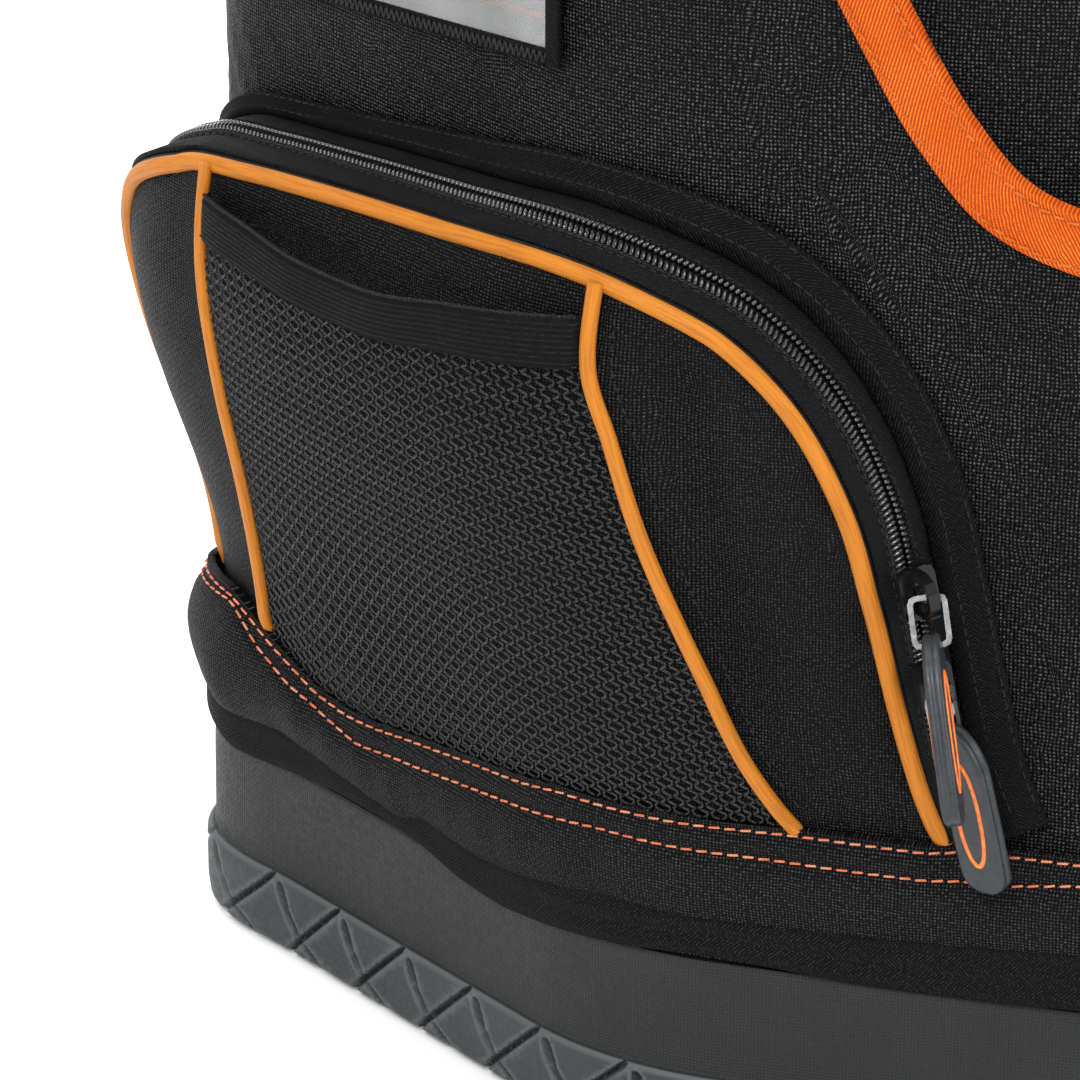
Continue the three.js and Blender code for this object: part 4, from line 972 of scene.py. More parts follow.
def tape_of_tray():
    cols = 720
    q = np.arange(cols + 1) / cols * GIRTH
    v = np.array([0, 0.02, 0.06, 0.14, 0.3, 0.5, 0.7, 0.86, 1.0])
    Q, V = np.meshgrid(q[:-1], v)
    s, side = around(Q)
    low, high = rubber_z(s), fold_z(s) + 2.5
    Z = mix(low, high, V)
    rise = 1.5 * rounded(Z - low, 1.0)
    P = wall(s, Z, 0, side)
    push = corner_push(s)
    lift = 0.95 + rise + 0.3 * ripple(P, 14, 31) * smooth(V, 0, 0.4) + push
    outer = wall(s, Z, lift, side)
    inner = wall(s, Z, 0.7 + push, side)
    uv = np.stack(np.meshgrid(q, v), -1)
    uv[..., 1] = np.concatenate([Z - low, (Z - low)[:, :1]], 1)
    build = Build().add(*sheet(outer, inner, uv, wrap=True))
    return done(build.make("tray_tape", tray_tape), "bag", ["tray_binding"], "woven_tape")


def skirt_out(s, share, P):
    """The skirt's stand off the wall; it puffs most at its lower edge on the side."""
    side_puff = smooth(s, 28, 70) * (1 - smooth(s, 128, 165))
    corner = smooth(s, -5, 22) * (1 - smooth(s, 44, 62))
    over = smooth(s, 20, 30) * (1 - smooth(s, 230, 242))
    low = 3.0 + 1.5 * side_puff + 1.7 * corner
    belly = 1.8 + 1.0 * side_puff + 0.9 * corner
    puff = belly * np.sin(PI * np.clip(share, 0, 1) ** 0.8)
    return (corner_push(s) * (1 - 0.75 * share) + mix(low, 1.7 + 3.4 * over, share) + puff
            + 0.35 * ripple(P, 30, 41))


def skirt():
    cols = 620
    q = np.arange(cols + 1) / cols * GIRTH
    v = np.concatenate([[0, 0.008, 0.025, 0.06], np.linspace(0.1, 0.97, 20), [1.0]])
    Q, V = np.meshgrid(q[:-1], v)
    s, side = around(Q)
    low, high = fold_z(s), skirt_top(s)
    Z = mix(low, high, V)
    P = wall(s, Z, 0, side)
    out = skirt_out(s, V, P)
    for line, depth in ((seam_low(s), 0.75), (seam_high(s), 0.75)):
        out = out - depth * np.exp(-((Z - line) / 1.5) ** 2)
    ruck = 0.3 * np.sin(Q * 0.55 + 2 * np.sin(Q * 0.05)) * np.exp(-((Z - low - 7) / 7.0) ** 2)
    out = out + ruck * 0.6 - 1.1 * (1 - rounded(Z - low, 0.9))
    outer = wall(s, Z, out, side)
    inner = wall(s, Z, np.maximum(out - 1.7, 0.3), side)
    uv = np.stack(np.meshgrid(q, v), -1)
    uv[..., 1] = np.concatenate([Z, Z[:, :1]], 1)
    build = Build().add(*sheet(outer, inner, uv, wrap=True))
    for line in (seam_low, seam_high):
        for sd in (1, -1):
            ss = np.linspace(-BACK_FLAT, FRONT_MIDDLE, 900)
            zz = line(ss)
            share = (zz - fold_z(ss)) / (skirt_top(ss) - fold_z(ss))
            Pm = wall(ss, zz, 0, sd)
            lift = skirt_out(ss, share, Pm) - 0.75 + 0.2
            stitches(build, *laid(wall, ss, zz, lift, sd), 3.25, 2.4, 0.29, 1, slant=0.08)
    return done(build.make("skirt", [skirt_cloth, thread_orange], 60), "bag", ["lower_band"], "body_cloth")


# ---------------------------------------------------------------- side pockets
OUTLINE = [(0.01, 0), (0, 0.2), (0, 0.43), (0.002, 0.6), (0.017, 0.71), (0.05, 0.82), (0.082, 0.877),
           (0.13, 0.928), (0.22, 0.953), (0.36, 0.975),
           (0.5, 0.99), (0.62, 1), (0.7, 0.975), (0.78, 0.91), (0.85, 0.79), (0.9, 0.62), (0.925, 0.45), (0.95, 0.25),
           (0.975, 0.1), (1, 0)]
REAR = [(0.168, 0.948), (0.165, 0.78), (0.175, 0.6), (0.17, 0.4), (0.155, 0.18), (0.14, 0.015)]
FRONT = [(0.674, 0.99), (0.675, 0.84), (0.695, 0.72), (0.72, 0.54), (0.755, 0.34), (0.8, 0.15), (0.85, 0.015)]


def pocket_points(rows):
    return [(POCKET_START + a * POCKET_LENGTH, POCKET_FOOT + u * POCKET_HEIGHT) for a, u in rows]


outline, rear, front = (Curve(pocket_points(r)) for r in (OUTLINE, REAR, FRONT))


def warp(s, z):
    """The pocket's foot follows the seam of the skirt."""
    drop = np.maximum(POCKET_FOOT - (skirt_top(s) - 2.5), 0)
    return z - drop * (1 - smooth(z, POCKET_FOOT, POCKET_FOOT + 48))


def stand_off(s, z):
    along = (s - POCKET_START) / POCKET_LENGTH
    up = (z - POCKET_FOOT) / POCKET_HEIGHT
    depth = mix(REAR_DEPTH, FRONT_DEPTH, np.clip(along, 0, 1))
    rise = np.sin(PI / 2 * np.clip(up / 0.72, 0, 1)) ** 1.9
    bulge = np.maximum(0, 1 - (2 * along - 1) ** 2) * np.maximum(0, 1 - (2 * up - 1) ** 4)
    return 1.1 + depth * rise + BULGE * bulge


def face_point(s, z, lift, side, fold=True):
    extra = 0.0
    if fold:
        P = wall(s, z, 0, 1.0)
        a = (s - POCKET_START) / POCKET_LENGTH
        u = (z - POCKET_FOOT) / POCKET_HEIGHT
        inside = np.clip(np.minimum(a * 9, (1 - a) * 9), 0, 1) * np.clip((1 - u) * 6, 0, 1)
        extra = inside * (0.6 * ripple(P, 42, 51, (1, 1, 0.8)) + 0.22 * ripple(P, 15, 52))
        # A soft vertical dent in front of the front piping
        bend = 0.76 + 0.10 * (0.6 - u)
        extra = extra - 3.0 * np.exp(-((a - bend) / 0.03) ** 2) * smooth(u, 0.1, 0.5) * (1 - smooth(u, 0.8, 0.97))
    return wall(s, warp(s, z), stand_off(s, z) + lift + extra, side)


def outline_at(t, shift):
    p, q = outline.at(t), outline.tangent(t, 0.003)
    s = p[..., 0] - q[..., 1] * shift
    z = np.maximum(p[..., 1] + q[..., 0] * shift, POCKET_FOOT)
    return s, z, p


def gusset_run(t):
    return mix(2.5, 9.0, smooth(t, 0.35, 0.8))


def gusset_base(t, w, side):
    run = mix(PIPING_ROOM + gusset_run(t), PIPING_ROOM, w)
    s, z, p = outline_at(t, run)
    top = stand_off(p[..., 0], p[..., 1]) + 0.7
    lift = mix(0.9, np.maximum(top, 1.0), w)
    return wall(s, warp(s, z), lift, side)


def gusset_point(t, w, lift, side):
    e = 0.004
    along = gusset_base(np.clip(t + e, 0, 1), w, side) - gusset_base(np.clip(t - e, 0, 1), w, side)
    across = gusset_base(t, np.ones_like(w), side) - gusset_base(t, np.zeros_like(w), side)
    n = np.cross(across, along)
    n = unit(n) * side
    return gusset_base(t, w, side) + n * np.asarray(lift)[..., None]


def zip_teeth(build, centre, normal, spread=1.2, pitch=1.27, mat=0, size=1.06):
    """Two rows of coil beads along a path."""
    run = run_of(centre)
    bead = capsule(2.25 * size, 0.56 * size, 7, 2, 1.15)
    for row, sign in ((0, -1), (1, 1)):
        at = np.arange(0.6 + row * pitch / 2, run[-1] - 0.5, pitch)
        p, n = picked(centre, run, at), picked(normal, run, at)
        t = picked(centre, run, np.minimum(at + 0.5, run[-1])) - picked(centre, run, np.maximum(at - 0.5, 0))
        t = unit(t)
        n = unit(n)
        a = np.cross(t, n)
        scatter(build, bead, p + a * spread * sign * size, a + t * 0.28 * sign - n * 0.22 * sign, n, mat)


def side_pocket(label, side):
    # Face cloth, a patch inside the outer piping
    corners = (0.28, 0.62)

    def inside(t):
        s, z, _ = outline_at(t, -PIPING_ROOM + 0.6)
        return np.stack([s, z], -1)

    nu, nv = 110, 66
    u, v = np.linspace(0, 1, nu), np.linspace(0, 1, nv)
    U, V = np.meshgrid(u, v)
    low = mix(inside(np.zeros(nu)), inside(np.ones(nu)), u[:, None])
    top = inside(mix(corners[0], corners[1], u))
    left = inside(mix(0.0, corners[0], v))
    right = inside(mix(1.0, corners[1], v))
    rows = low[None] * (1 - V[..., None]) + top[None] * V[..., None]
    cols = left[:, None] * (1 - U[..., None]) + right[:, None] * U[..., None]
    c = [low[0], low[-1], top[0], top[-1]]
    corner = ((c[0] * (1 - U[..., None]) + c[1] * U[..., None]) * (1 - V[..., None])
              + (c[2] * (1 - U[..., None]) + c[3] * U[..., None]) * V[..., None])
    q = rows + cols - corner
    S, Z = q[..., 0], q[..., 1]
    outer = face_point(S, Z, 1.3, side)
    inner = face_point(S, Z, 0.0, side)
    build = Build().add(*sheet(outer, inner, np.stack([S, Z], -1)))
    # Black stitches in front of the front piping
    t = np.linspace(0.05, 0.97, 120)
    p, g = front.at(t), front.tangent(t)
    s1, z1 = p[:, 0] - g[:, 1] * 3.6, p[:, 1] + g[:, 0] * 3.6
    stitches(build, *laid(face_point, s1, z1, 1.45, side), 2.6, 1.7, 0.22, 1)
    done(build.make(f"pocket_face_{label}", [pocket_cloth, thread_and_shade_black]), "bag", [f"pocket_panel_{label}"],
         "body_cloth")

    # Gusset cloth
    t, w = np.linspace(0, 1, 300), np.linspace(0, 1, 14)
    T, W = np.meshgrid(t, w)
    dip = 0.35 * np.exp(-((W - 0.5) / 0.13) ** 2)
    outer = gusset_point(T, W, 1.15 - dip, side)
    inner = gusset_point(T, W, 0.0, side)
    length = outline.length
    wide = np.linalg.norm(gusset_base(t, np.ones_like(t), side) - gusset_base(t, np.zeros_like(t), side), axis=-1)
    uv = np.stack([T * length, W * wide[None]], -1)
    build = Build().add(*sheet(outer, inner, uv))
    for off in (3.1, -3.1):
        share = np.clip(0.5 + off / wide, 0.05, 0.95)
        path, normal = laid(gusset_point, t, share, 1.2, side)
        stitches(build, path[6:-6], normal[6:-6], 2.4, 1.6, 0.2, 1)
    # Welt that closes the seam beside the outer piping; it is black so that it also stands in for the seam's shadow,
    # a painted shadow.
    s, z, _ = outline_at(t[2:-2], 1.25)
    build.add(*tube(*laid(face_point, s, z, 0.8, side, fold=False), oval(0.95, 0.95, 8)), mat=1)
    done(build.make(f"pocket_wall_{label}", [gusset_cloth, thread_and_shade_black]), "bag", [f"pocket_gusset_{label}"],
         "woven_tape")

    # Coil zip
    t = np.linspace(0.015, 0.965, 500)
    half = np.full_like(t, 0.5)
    build = Build()
    zip_teeth(build, *laid(gusset_point, t, half, 1.95, side))
    for off in (-2.35, 2.35):
        share = np.clip(0.5 + off / np.interp(t, np.linspace(0, 1, 300), wide), 0.03, 0.97)
        path, normal = laid(gusset_point, t, share, 1.35, side)
        build.add(*tube(path[::3], normal[::3], oval(0.42, 0.5, 7)), mat=1)
    done(build.make(f"zip_coils_{label}", [coil_black, edge_cord]), "bag", [f"zip_chain_{label}"], "zip_coil")

    # Flat tape round the gusset's foot, with its second edge
    t = np.linspace(0, 1, 340)
    k = np.array([0, 0.03, 0.09, 0.2, 0.32, 0.42, 0.46, 0.5, 0.56, 0.7, 0.85, 0.93, 0.98, 1.0])
    T, K = np.meshgrid(t, k)
    start = PIPING_ROOM + gusset_run(T) + 1.2
    wide_at = mix(4.2, 9.6, smooth(T, 0.3, 0.72))
    s, z, _ = outline_at(T, start + K * wide_at)
    zz = warp(s, z)
    d = (1 - K) * 9.6
    rise = 1.0 * rounded(d, 0.7) + 0.75 * (1 - smooth(K, 0.42, 0.5))
    P = wall(s, zz, 0, 1.0)
    fluff = 0.16 * ripple(P, 12, 61 + int(side)) * (1 - 0.6 * K)
    outer = wall(s, zz, 0.45 + rise + fluff, side)
    inner = wall(s, zz, 0.35, side)
    uv = np.stack([T * length, K * 9.6], -1)
    build = Build().add(*sheet(outer, inner, uv))
    for kk, rr in ((0.9, 1.35), (0.36, 2.1)):
        s1, z1, _ = outline_at(t, PIPING_ROOM + gusset_run(t) + 1.2 + kk * wide_at[0])
        path, normal = laid(wall, s1, warp(s1, z1), rr, side)
        stitches(build, path[4:-4], normal[4:-4], 2.6, 1.8, 0.2, 1)
    done(build.make(f"pocket_tape_{label}", [flange_tape, thread_and_shade_black]), "bag", [f"pocket_flange_{label}"],
         "woven_tape")

    # Pipings
    def piping(name, curve, t0, t1, lift, node, radius, steps):
        tt = np.linspace(t0, t1, steps)
        p = curve.at(tt)
        height = lift - 1.3 * (1 - smooth(p[:, 1], POCKET_FOOT, POCKET_FOOT + 7))
        path, n = laid(face_point, p[:, 0], p[:, 1], height, side, fold=False)
        b = Build().add(*tube(path, n, oval(radius * 0.92, radius, 14)))
        done(b.make(name, piping_orange, 70), "bag", [node], "orange_trim")

    piping(f"outer_piping_{label}", outline, 0.004, 0.996, 1.3, f"piping_outer_{label}", 1.95, 320)
    seam = FACE_CLOTH + 0.3 + 1.3
    piping(f"rear_piping_{label}", rear, 0.0, 1.0, seam, f"piping_rear_{label}", 1.5, 110)
    piping(f"front_piping_{label}", front, 0.0, 1.0, seam, f"piping_front_{label}", 1.7, 120)
    net_and_hem(label, side)


def net_frame():
    v = np.linspace(0, 1, 200)
    r, f = rear.at(1 - v), front.at(1 - v)
    return v, r, f


_nv, _nr, _nf = net_frame()


def net_uv(s, z):
    """Share across and up of a place on the net."""
    v = np.clip((z - _nr[0, 1]) / (mix(_nr[-1, 1], _nf[-1, 1], 0.5) - _nr[0, 1]), 0, 1)
    for _ in range(3):
        r0 = np.interp(v, _nv, _nr[:, 0])
        f0 = np.interp(v, _nv, _nf[:, 0])
        u = np.clip((s - r0) / (f0 - r0), -0.2, 1.2)
        zz = mix(np.interp(v, _nv, _nr[:, 1]), np.interp(v, _nv, _nf[:, 1]), np.clip(u, 0, 1))
        sag = 5 * np.sin(PI * np.clip(u, 0, 1)) ** 2 * v ** 2
        v = np.clip(v + (z - zz + sag) / POCKET_HEIGHT, 0, 1)
    return u, v


def net_lift(u, v):
    arch = np.sin(PI * np.clip(u, 0, 1)) ** 0.6
    return FACE_CLOTH + 0.3 + MESH_ROOM * arch * v ** 0.8


def net_point(u, v, lift, side):
    r = np.stack([np.interp(v, _nv, _nr[:, k]) for k in (0, 1)], -1)
    f = np.stack([np.interp(v, _nv, _nf[:, k]) for k in (0, 1)], -1)
    p = mix(r, f, np.asarray(u)[..., None])
    sag = 5 * np.sin(PI * u) ** 2 * v ** 2
    return face_point(p[..., 0], p[..., 1] - sag, net_lift(u, v) + lift, side, fold=False)


def net_and_hem(label, side):
    # Net: leaning zigzag strands that meet their neighbours, cut to the panel
    pitch, step, lean = 1.9, 0.55, 0.42
    build = Build()
    first, last = -60.0, 230.0
    for k in range(int((last - first) / pitch)):
        z = np.arange(POCKET_FOOT - 4, 205, step)
        j = np.arange(len(z))
        phase = j + 2 * (k % 2)
        zig = np.array([0.0, 0.9, 1.0, 0.1])[phase % 4]
        x = first + k * pitch + zig * pitch * 0.6 + lean * (200 - z)
        u, v = net_uv(x, z)
        ok = (u > -0.005) & (u < 1.005) & (z > POCKET_FOOT + 0.3) & (v < HEM_FOOT + 0.02)
        if ok.sum() < 3:
            continue
        idx = np.flatnonzero(ok)
        for run in np.split(idx, np.flatnonzero(np.diff(idx) > 1) + 1):
            if len(run) < 3:
                continue
            uu, vv = np.clip(u[run], 0, 1), v[run]
            bob = 0.2 * np.where((j[run] % 4) < 2, 1, -1) - 0.4
            path, n = laid(face_point, x[run], z[run], net_lift(uu, vv) + 0.6 + bob, side, fold=False)
            build.add(*tube(path, n, oval(0.25, 0.33, 5)))
    done(build.make(f"net_{label}", net_fibre, 80), "bag", [f"mesh_panel_{label}"], "net")

    # Hem: ribbed elastic with a rolled top edge
    u = np.linspace(0.012, 0.988, 120)
    k = np.array([0, 0.03, 0.1, 0.2, 0.32, 0.44, 0.56, 0.68, 0.8, 0.9, 0.97, 1.0])
    U, K = np.meshgrid(u, k)
    V = mix(HEM_FOOT - 0.004, HEM_TOP, K)
    d = np.minimum(K, 1 - K) * 9.0
    rise = 1.5 * rounded(d, 0.8)
    ribs = 0.10 * np.sin(K * 2 * PI * 8)
    wave = 0.5 * np.sin(U * 9 + 1) * np.sin(PI * U) + 0.25 * np.sin(U * 23)
    tuck = 1.7 * (np.exp(-(U / 0.016) ** 2) + np.exp(-((1 - U) / 0.016) ** 2))
    outer = net_point(U, V, 0.4 + rise + ribs + wave - tuck, side)
    inner = net_point(U, V, 0.2 + wave - tuck, side)
    build = Build().add(*sheet(outer, inner, np.stack([U * 110, K * 9.0], -1)))
    path, n = laid(net_point, u, np.full_like(u, HEM_TOP), 1.2 + wave[-1], side)
    build.add(*tube(path[1:-1], n[1:-1], oval(0.42, 0.38, 8)), mat=1)
    path = net_point(u, np.full_like(u, HEM_FOOT + 0.003), 1.5 + wave[0], side)
    stitches(build, path, n, 2.0, 1.5, 0.2, 1)
    done(build.make(f"net_hem_{label}", [hem_cloth, edge_cord]), "bag", [f"mesh_hem_{label}"], "woven_tape")


# ---------------------------------------------------------------- card holder
def card_foot_at(s):
    return CARD_FOOT + CARD_SLOPE * (s - CARD_REAR)


def card_holder():
    def strip(name, foot, head, lift, thick, mat, nodes, slot, s0=CARD_REAR, s1=CARD_FRONT,
              rows=10, wave=0.0):
        u, v = np.linspace(0, 1, 60), np.linspace(0, 1, rows)
        U, V = np.meshgrid(u, v)
        S = mix(s0, s1, U)
        Z = card_foot_at(S) + mix(foot, head, V)
        P = wall(S, Z, 0, 1)
        d = np.minimum(np.minimum(U * (s1 - s0), (1 - U) * (s1 - s0)), np.minimum(V, 1 - V) * (head - foot))
        rise = thick * (0.35 + 0.65 * rounded(d, 0.8))
        puff = wave * ripple(P, 24, 71)
        outer, inner = wall(S, Z, lift + rise + puff, 1), wall(S, Z, lift + puff, 1)
        build = Build().add(*sheet(outer, inner, np.stack([S, Z], -1)))
        return build, (name, mat, nodes, slot)

    def finish(b, info):
        name, mat, nodes, slot = info
        return done(b.make(name, mat), "bag", nodes, slot)

    finish(*strip("card_back", 4.3, 56, 0.35, 0.7, card_grey, ["card_backing"], "card_back", wave=0.1))
    finish(*strip("card_edge", 4.4, 8.6, 1.15, 0.5, card_olive, [], "card_back", 65, 149))
    finish(*strip("card_stripe", 8.9, 10.3, 1.2, 0.4, tape_orange, ["card_line"], "orange_trim", 65, 149))
    finish(*strip("card_window", 3.2, 56, 2.0, 0.35, card_film, ["card_sheet"], "card_clear", wave=0.25))
    b, info = strip("card_foot", -0.4, 3.6, 0.4, 2.3, [flange_tape, thread_and_shade_black], ["card_hem"], "woven_tape",
                    rows=14)
    s = np.arange(64.8, 149.4, 0.85)
    z = card_foot_at(s) + 1.7 + np.where(np.arange(len(s)) % 2, 1.25, -1.25)
    p = wall(s, z, 2.9, 1)
    mid, x = (p[1:] + p[:-1]) / 2, p[1:] - p[:-1]
    n = np.tile([-1.0, 0, 0], (len(mid), 1))
    scatter(b, capsule(2.5, 0.24, 6, 2), mid, x, n, 1)
    finish(b, info)
    frame_build = Build()
    for s0 in (CARD_REAR, CARD_FRONT):
        zz = np.linspace(0, CARD_HIGH, 40) + card_foot_at(s0)
        frame_build.add(*tube(*laid(wall, np.full_like(zz, s0), zz, 2.0, 1), oval(0.9, 1.9, 12, 3.0)))
    ss = np.linspace(63.5, 150.5, 60)
    zz = card_foot_at(ss) + CARD_HIGH + 0.6
    frame_build.add(*tube(*laid(wall, ss, zz, 2.0, 1), oval(0.9, 1.9, 12, 3.0)))
    done(frame_build.make("card_border", flange_tape), "bag", [], "woven_tape")


# ---------------------------------------------------------------- sliders, links and pulls
def local_frame(key):
    joint = next(j for j in frame["joints"] if j["child"] == f"pull_{key}")
    pos = np.array(joint["pos_m"]) * 1000
    z = np.array(joint["axis"], float)
    link = frame["nodes"][f"pull_link_{key}"]
    co = np.array([v.co for v in link.data.vertices]) * 1000
    x = co.mean(0) - pos
    x -= (x @ z) * z
    x /= np.linalg.norm(x)
    y = np.cross(z, x)
    return pos - np.array([0, SHIFT_Y, 0]), x, y, z


def pull_outline():
    start, end = 9.5 - 2.4, 9.5 - 2.4 + 38
    low, high = -2.6, 10.5 - 2.6
    pts = []

    def quad(a, b, c, k):
        for t in np.linspace(0, 1, k, endpoint=False):
            pts.append((1 - t) ** 2 * np.array(a) + 2 * t * (1 - t) * np.array(b) + t ** 2 * np.array(c))

    quad((start, 1), (start, low), (start + 3, low), 8)
    quad((start + 3, low), ((start + end) / 2, low - 0.8), (end - 5, low), 22)
    quad((end - 5, low), (end, low), (end, (low + high) / 2), 9)
    quad((end, (low + high) / 2), (end, high), (end - 5, high), 9)
    quad((end - 5, high), ((start + end) / 2, high + 0.6), (start + 9, high), 20)
    quad((start + 9, high), (start + 1, high - 2), (start, 1), 14)
    return np.array(pts)


def zip_pull(key):
    origin, X, Y, Z = local_frame(key)
    shape = pull_outline()
    centre = shape.mean(0)
    thick = 3.6
    to3 = lambda p, h: origin + p[..., :1] * X + p[..., 1:2] * Y + np.asarray(h)[..., None] * Z
    # Rounded slab with a long groove round its edge
    rows = []
    section = [(0.52, 0.5), (0.7, 0.5), (0.84, 0.49), (0.93, 0.455), (0.98, 0.38), (1.0, 0.27), (1.0, 0.14),
               (0.965, 0.09), (0.955, 0.0), (0.965, -0.09), (1.0, -0.14), (1.0, -0.27), (0.98, -0.38),
               (0.93, -0.455), (0.84, -0.49), (0.7, -0.5), (0.52, -0.5)]
    for k, h in section:
        inset = (1 - k) * 4.6
        d = centre - shape
        length = np.linalg.norm(d, axis=1, keepdims=True)
        p = shape + d / length * np.minimum(inset, length * 0.9)
        rows.append(to3(p, np.full(len(p), h * thick)))
    points = np.array(rows)
    n = points.shape[1]
    run = run_of(np.vstack([shape, shape[:1]]))
    uv = np.stack(np.meshgrid(run, np.arange(len(rows)) * 0.8), -1)
    co, quads, uvs = grid(points, uv, wrap=True)
    m = len(co)
    co = np.vstack([co, to3(centre[None], np.array([0.5 * thick])), to3(centre[None], np.array([-0.5 * thick]))])
    tri = np.vstack([fan(0, n, m, True), fan((len(rows) - 1) * n, n, m + 1)])
    build = Build().add(co, [quads, tri], [uvs, np.zeros((len(tri), 3, 2))])
    # Ring inlay on both faces
    w = np.linspace(0, 2 * PI, 73)[:-1]
    long, wide = 11.8, 2.9
    mid = np.array([centre[0] + 1.0, (10.5 - 5.2) / 2])
    ring = np.stack([mid[0] + long * signed_power(np.cos(w), 0.9), mid[1] + wide * np.sin(w)], -1)
    for h in (1, -1):
        path = to3(ring, np.full(len(ring), h * (0.5 * thick + 0.02)))
        nn = np.tile(Z * h, (len(path), 1))
        build.add(*tube(path, nn, oval(0.3, 0.5, 8), closed=True), mat=1)
    return done(build.make(f"pull_tab_{key}", [moulded, inlay], 45), f"pull_{key}", [f"zip_pull_{key}"],
                "moulded_grey")


def softened(o, material, width):
    """Gives a solid its material and rounded edges."""
    o.data.materials.clear()
    o.data.materials.append(material)
    edge = o.modifiers.new("edge", "BEVEL")
    edge.width = width * 0.001
    edge.segments = 3
    edge.limit_method = "ANGLE"
    edge.angle_limit = math.radians(35)


def metal_parts():
    for key in ("left_upper", "left_lower", "right_upper", "right_lower", "main"):
        softened(frame["nodes"][f"slider_{key}"], slider_black, 0.5)
        softened(frame["nodes"][f"pull_link_{key}"], steel, 0.3)
        zip_pull(key)
    for label in ("left", "right"):
        softened(frame["nodes"][f"ladder_lock_{label}"], moulded, 0.7)


# ---------------------------------------------------------------- top
def main_zip():
    y0 = 20.0
    z = np.linspace(366, 450, 60)
    half = np.stack([inset_at(z) - 172.5, np.full_like(z, y0), z], -1)
    top = np.stack([np.linspace(half[-1, 0], 0, 50)[1:], np.full(49, y0), np.full(49, 450.0)], -1)
    left = np.vstack([half, top])
    right = left[-2::-1] * [-1, 1, 1]
    path = np.vstack([left, right])
    k = np.exp(-0.5 * (np.arange(-6, 7) / 2.6) ** 2)
    for axis in (0, 2):
        path[6:-6, axis] = np.convolve(path[:, axis], k / k.sum(), "valid")
    t = np.gradient(path, axis=0)
    t = unit(t)
    n = np.cross(t, np.tile([0, 1.0, 0], (len(t), 1)))
    run = run_of(path)
    w = np.array([-14, -13.7, -13, -10, -6, -3.6, -2, 2, 3.6, 6, 10, 13, 13.7, 14.0])
    lift = 0.5 + 1.5 * rounded(14 - np.abs(w), 0.9)
    lift = np.where(np.abs(w) < 3, lift - 0.6, lift)
    outer = path[None] + n[None] * lift[:, None, None] + np.array([0, 1.0, 0]) * w[:, None, None]
    inner = path[None] - n[None] * 0.6 + np.array([0, 1.0, 0]) * w[:, None, None]
    uv = np.stack(np.meshgrid(run, w + 14), -1)
    build = Build().add(*sheet(outer, inner, uv))
    for ww in (-5.2, 5.2, -12, 12):
        p = path + n * 2.1 + [0, ww, 0]
        stitches(build, p[2:-2], n[2:-2], 3.0, 2.0, 0.24, 1)
    done(build.make("top_zip_tape", [flange_tape, thread_and_shade_black]), "bag", ["main_zip_tape"], "woven_tape")
    build = Build()
    zip_teeth(build, path + n * 2.4, n, 1.5, 1.5, size=1.25)
    done(build.make("top_zip_coils", coil_black), "bag", ["main_zip_chain"], "zip_coil")


def handle():
    y, thick = 62.0, 3.4
    base = 450 + 0.3 + thick / 2
    half = [(64, 0), (50, 0), (44, 4), (40, 14), (33, 26), (22, 34), (8, 37)]
    route = [(x, y, base + z) for x, z in half] + [(-x, y, base + z) for x, z in half[::-1]]
    c = Curve(route)
    t = np.linspace(0, 1, 150)
    path = c.at(t)
    g = np.gradient(path, axis=0)
    n = np.cross(unit(g), np.tile([0, 1.0, 0], (len(t), 1)))
    n = -n if n[len(n) // 2, 2] < 0 else n
    grip = smooth(t, 0.26, 0.34) * (1 - smooth(t, 0.66, 0.74))
    a = mix(1.5, 3.6, grip)[:, None]
    b = mix(12.0, 12.6, grip)[:, None]
    w = np.arange(28) / 28 * 2 * PI
    cw, sw = np.cos(w), np.sin(w)
    sec = np.stack([a * signed_power(cw, 0.45), b * signed_power(sw, 0.35)], -1)
    build = Build().add(*tube(path, n, sec))
    for sgn in (-1, 1):
        x0, x1 = 46, 62
        box = np.array([(x0, -9), (x1, -9), (x1, 9), (x0, 9), (x0, -9), (x1, 9), (x1, -9), (x0, 9)], float)
        for p0, p1 in zip(box[:-1], box[1:]):
            q = p0 + (p1 - p0) * np.linspace(0, 1, 12)[:, None]
            pts = np.stack([sgn * q[:, 0], y + q[:, 1], np.full(12, base + 1.75)], -1)
            stitches(build, pts, np.tile([0, 0, 1.0], (12, 1)), 2.6, 1.9, 0.26, 1, start=0.3)
    for ww in (-8.5, 8.5):
        lift = a[:, 0] * 0.93 + 0.12
        p = path + n * lift[:, None] + [0, ww, 0]
        keep = slice(42, 108)
        stitches(build, p[keep], n[keep], 3.0, 2.1, 0.26, 1)
    return done(build.make("handle", [webbing_cloth, thread_and_shade_black]), "bag", ["top_handle"], "woven_tape")


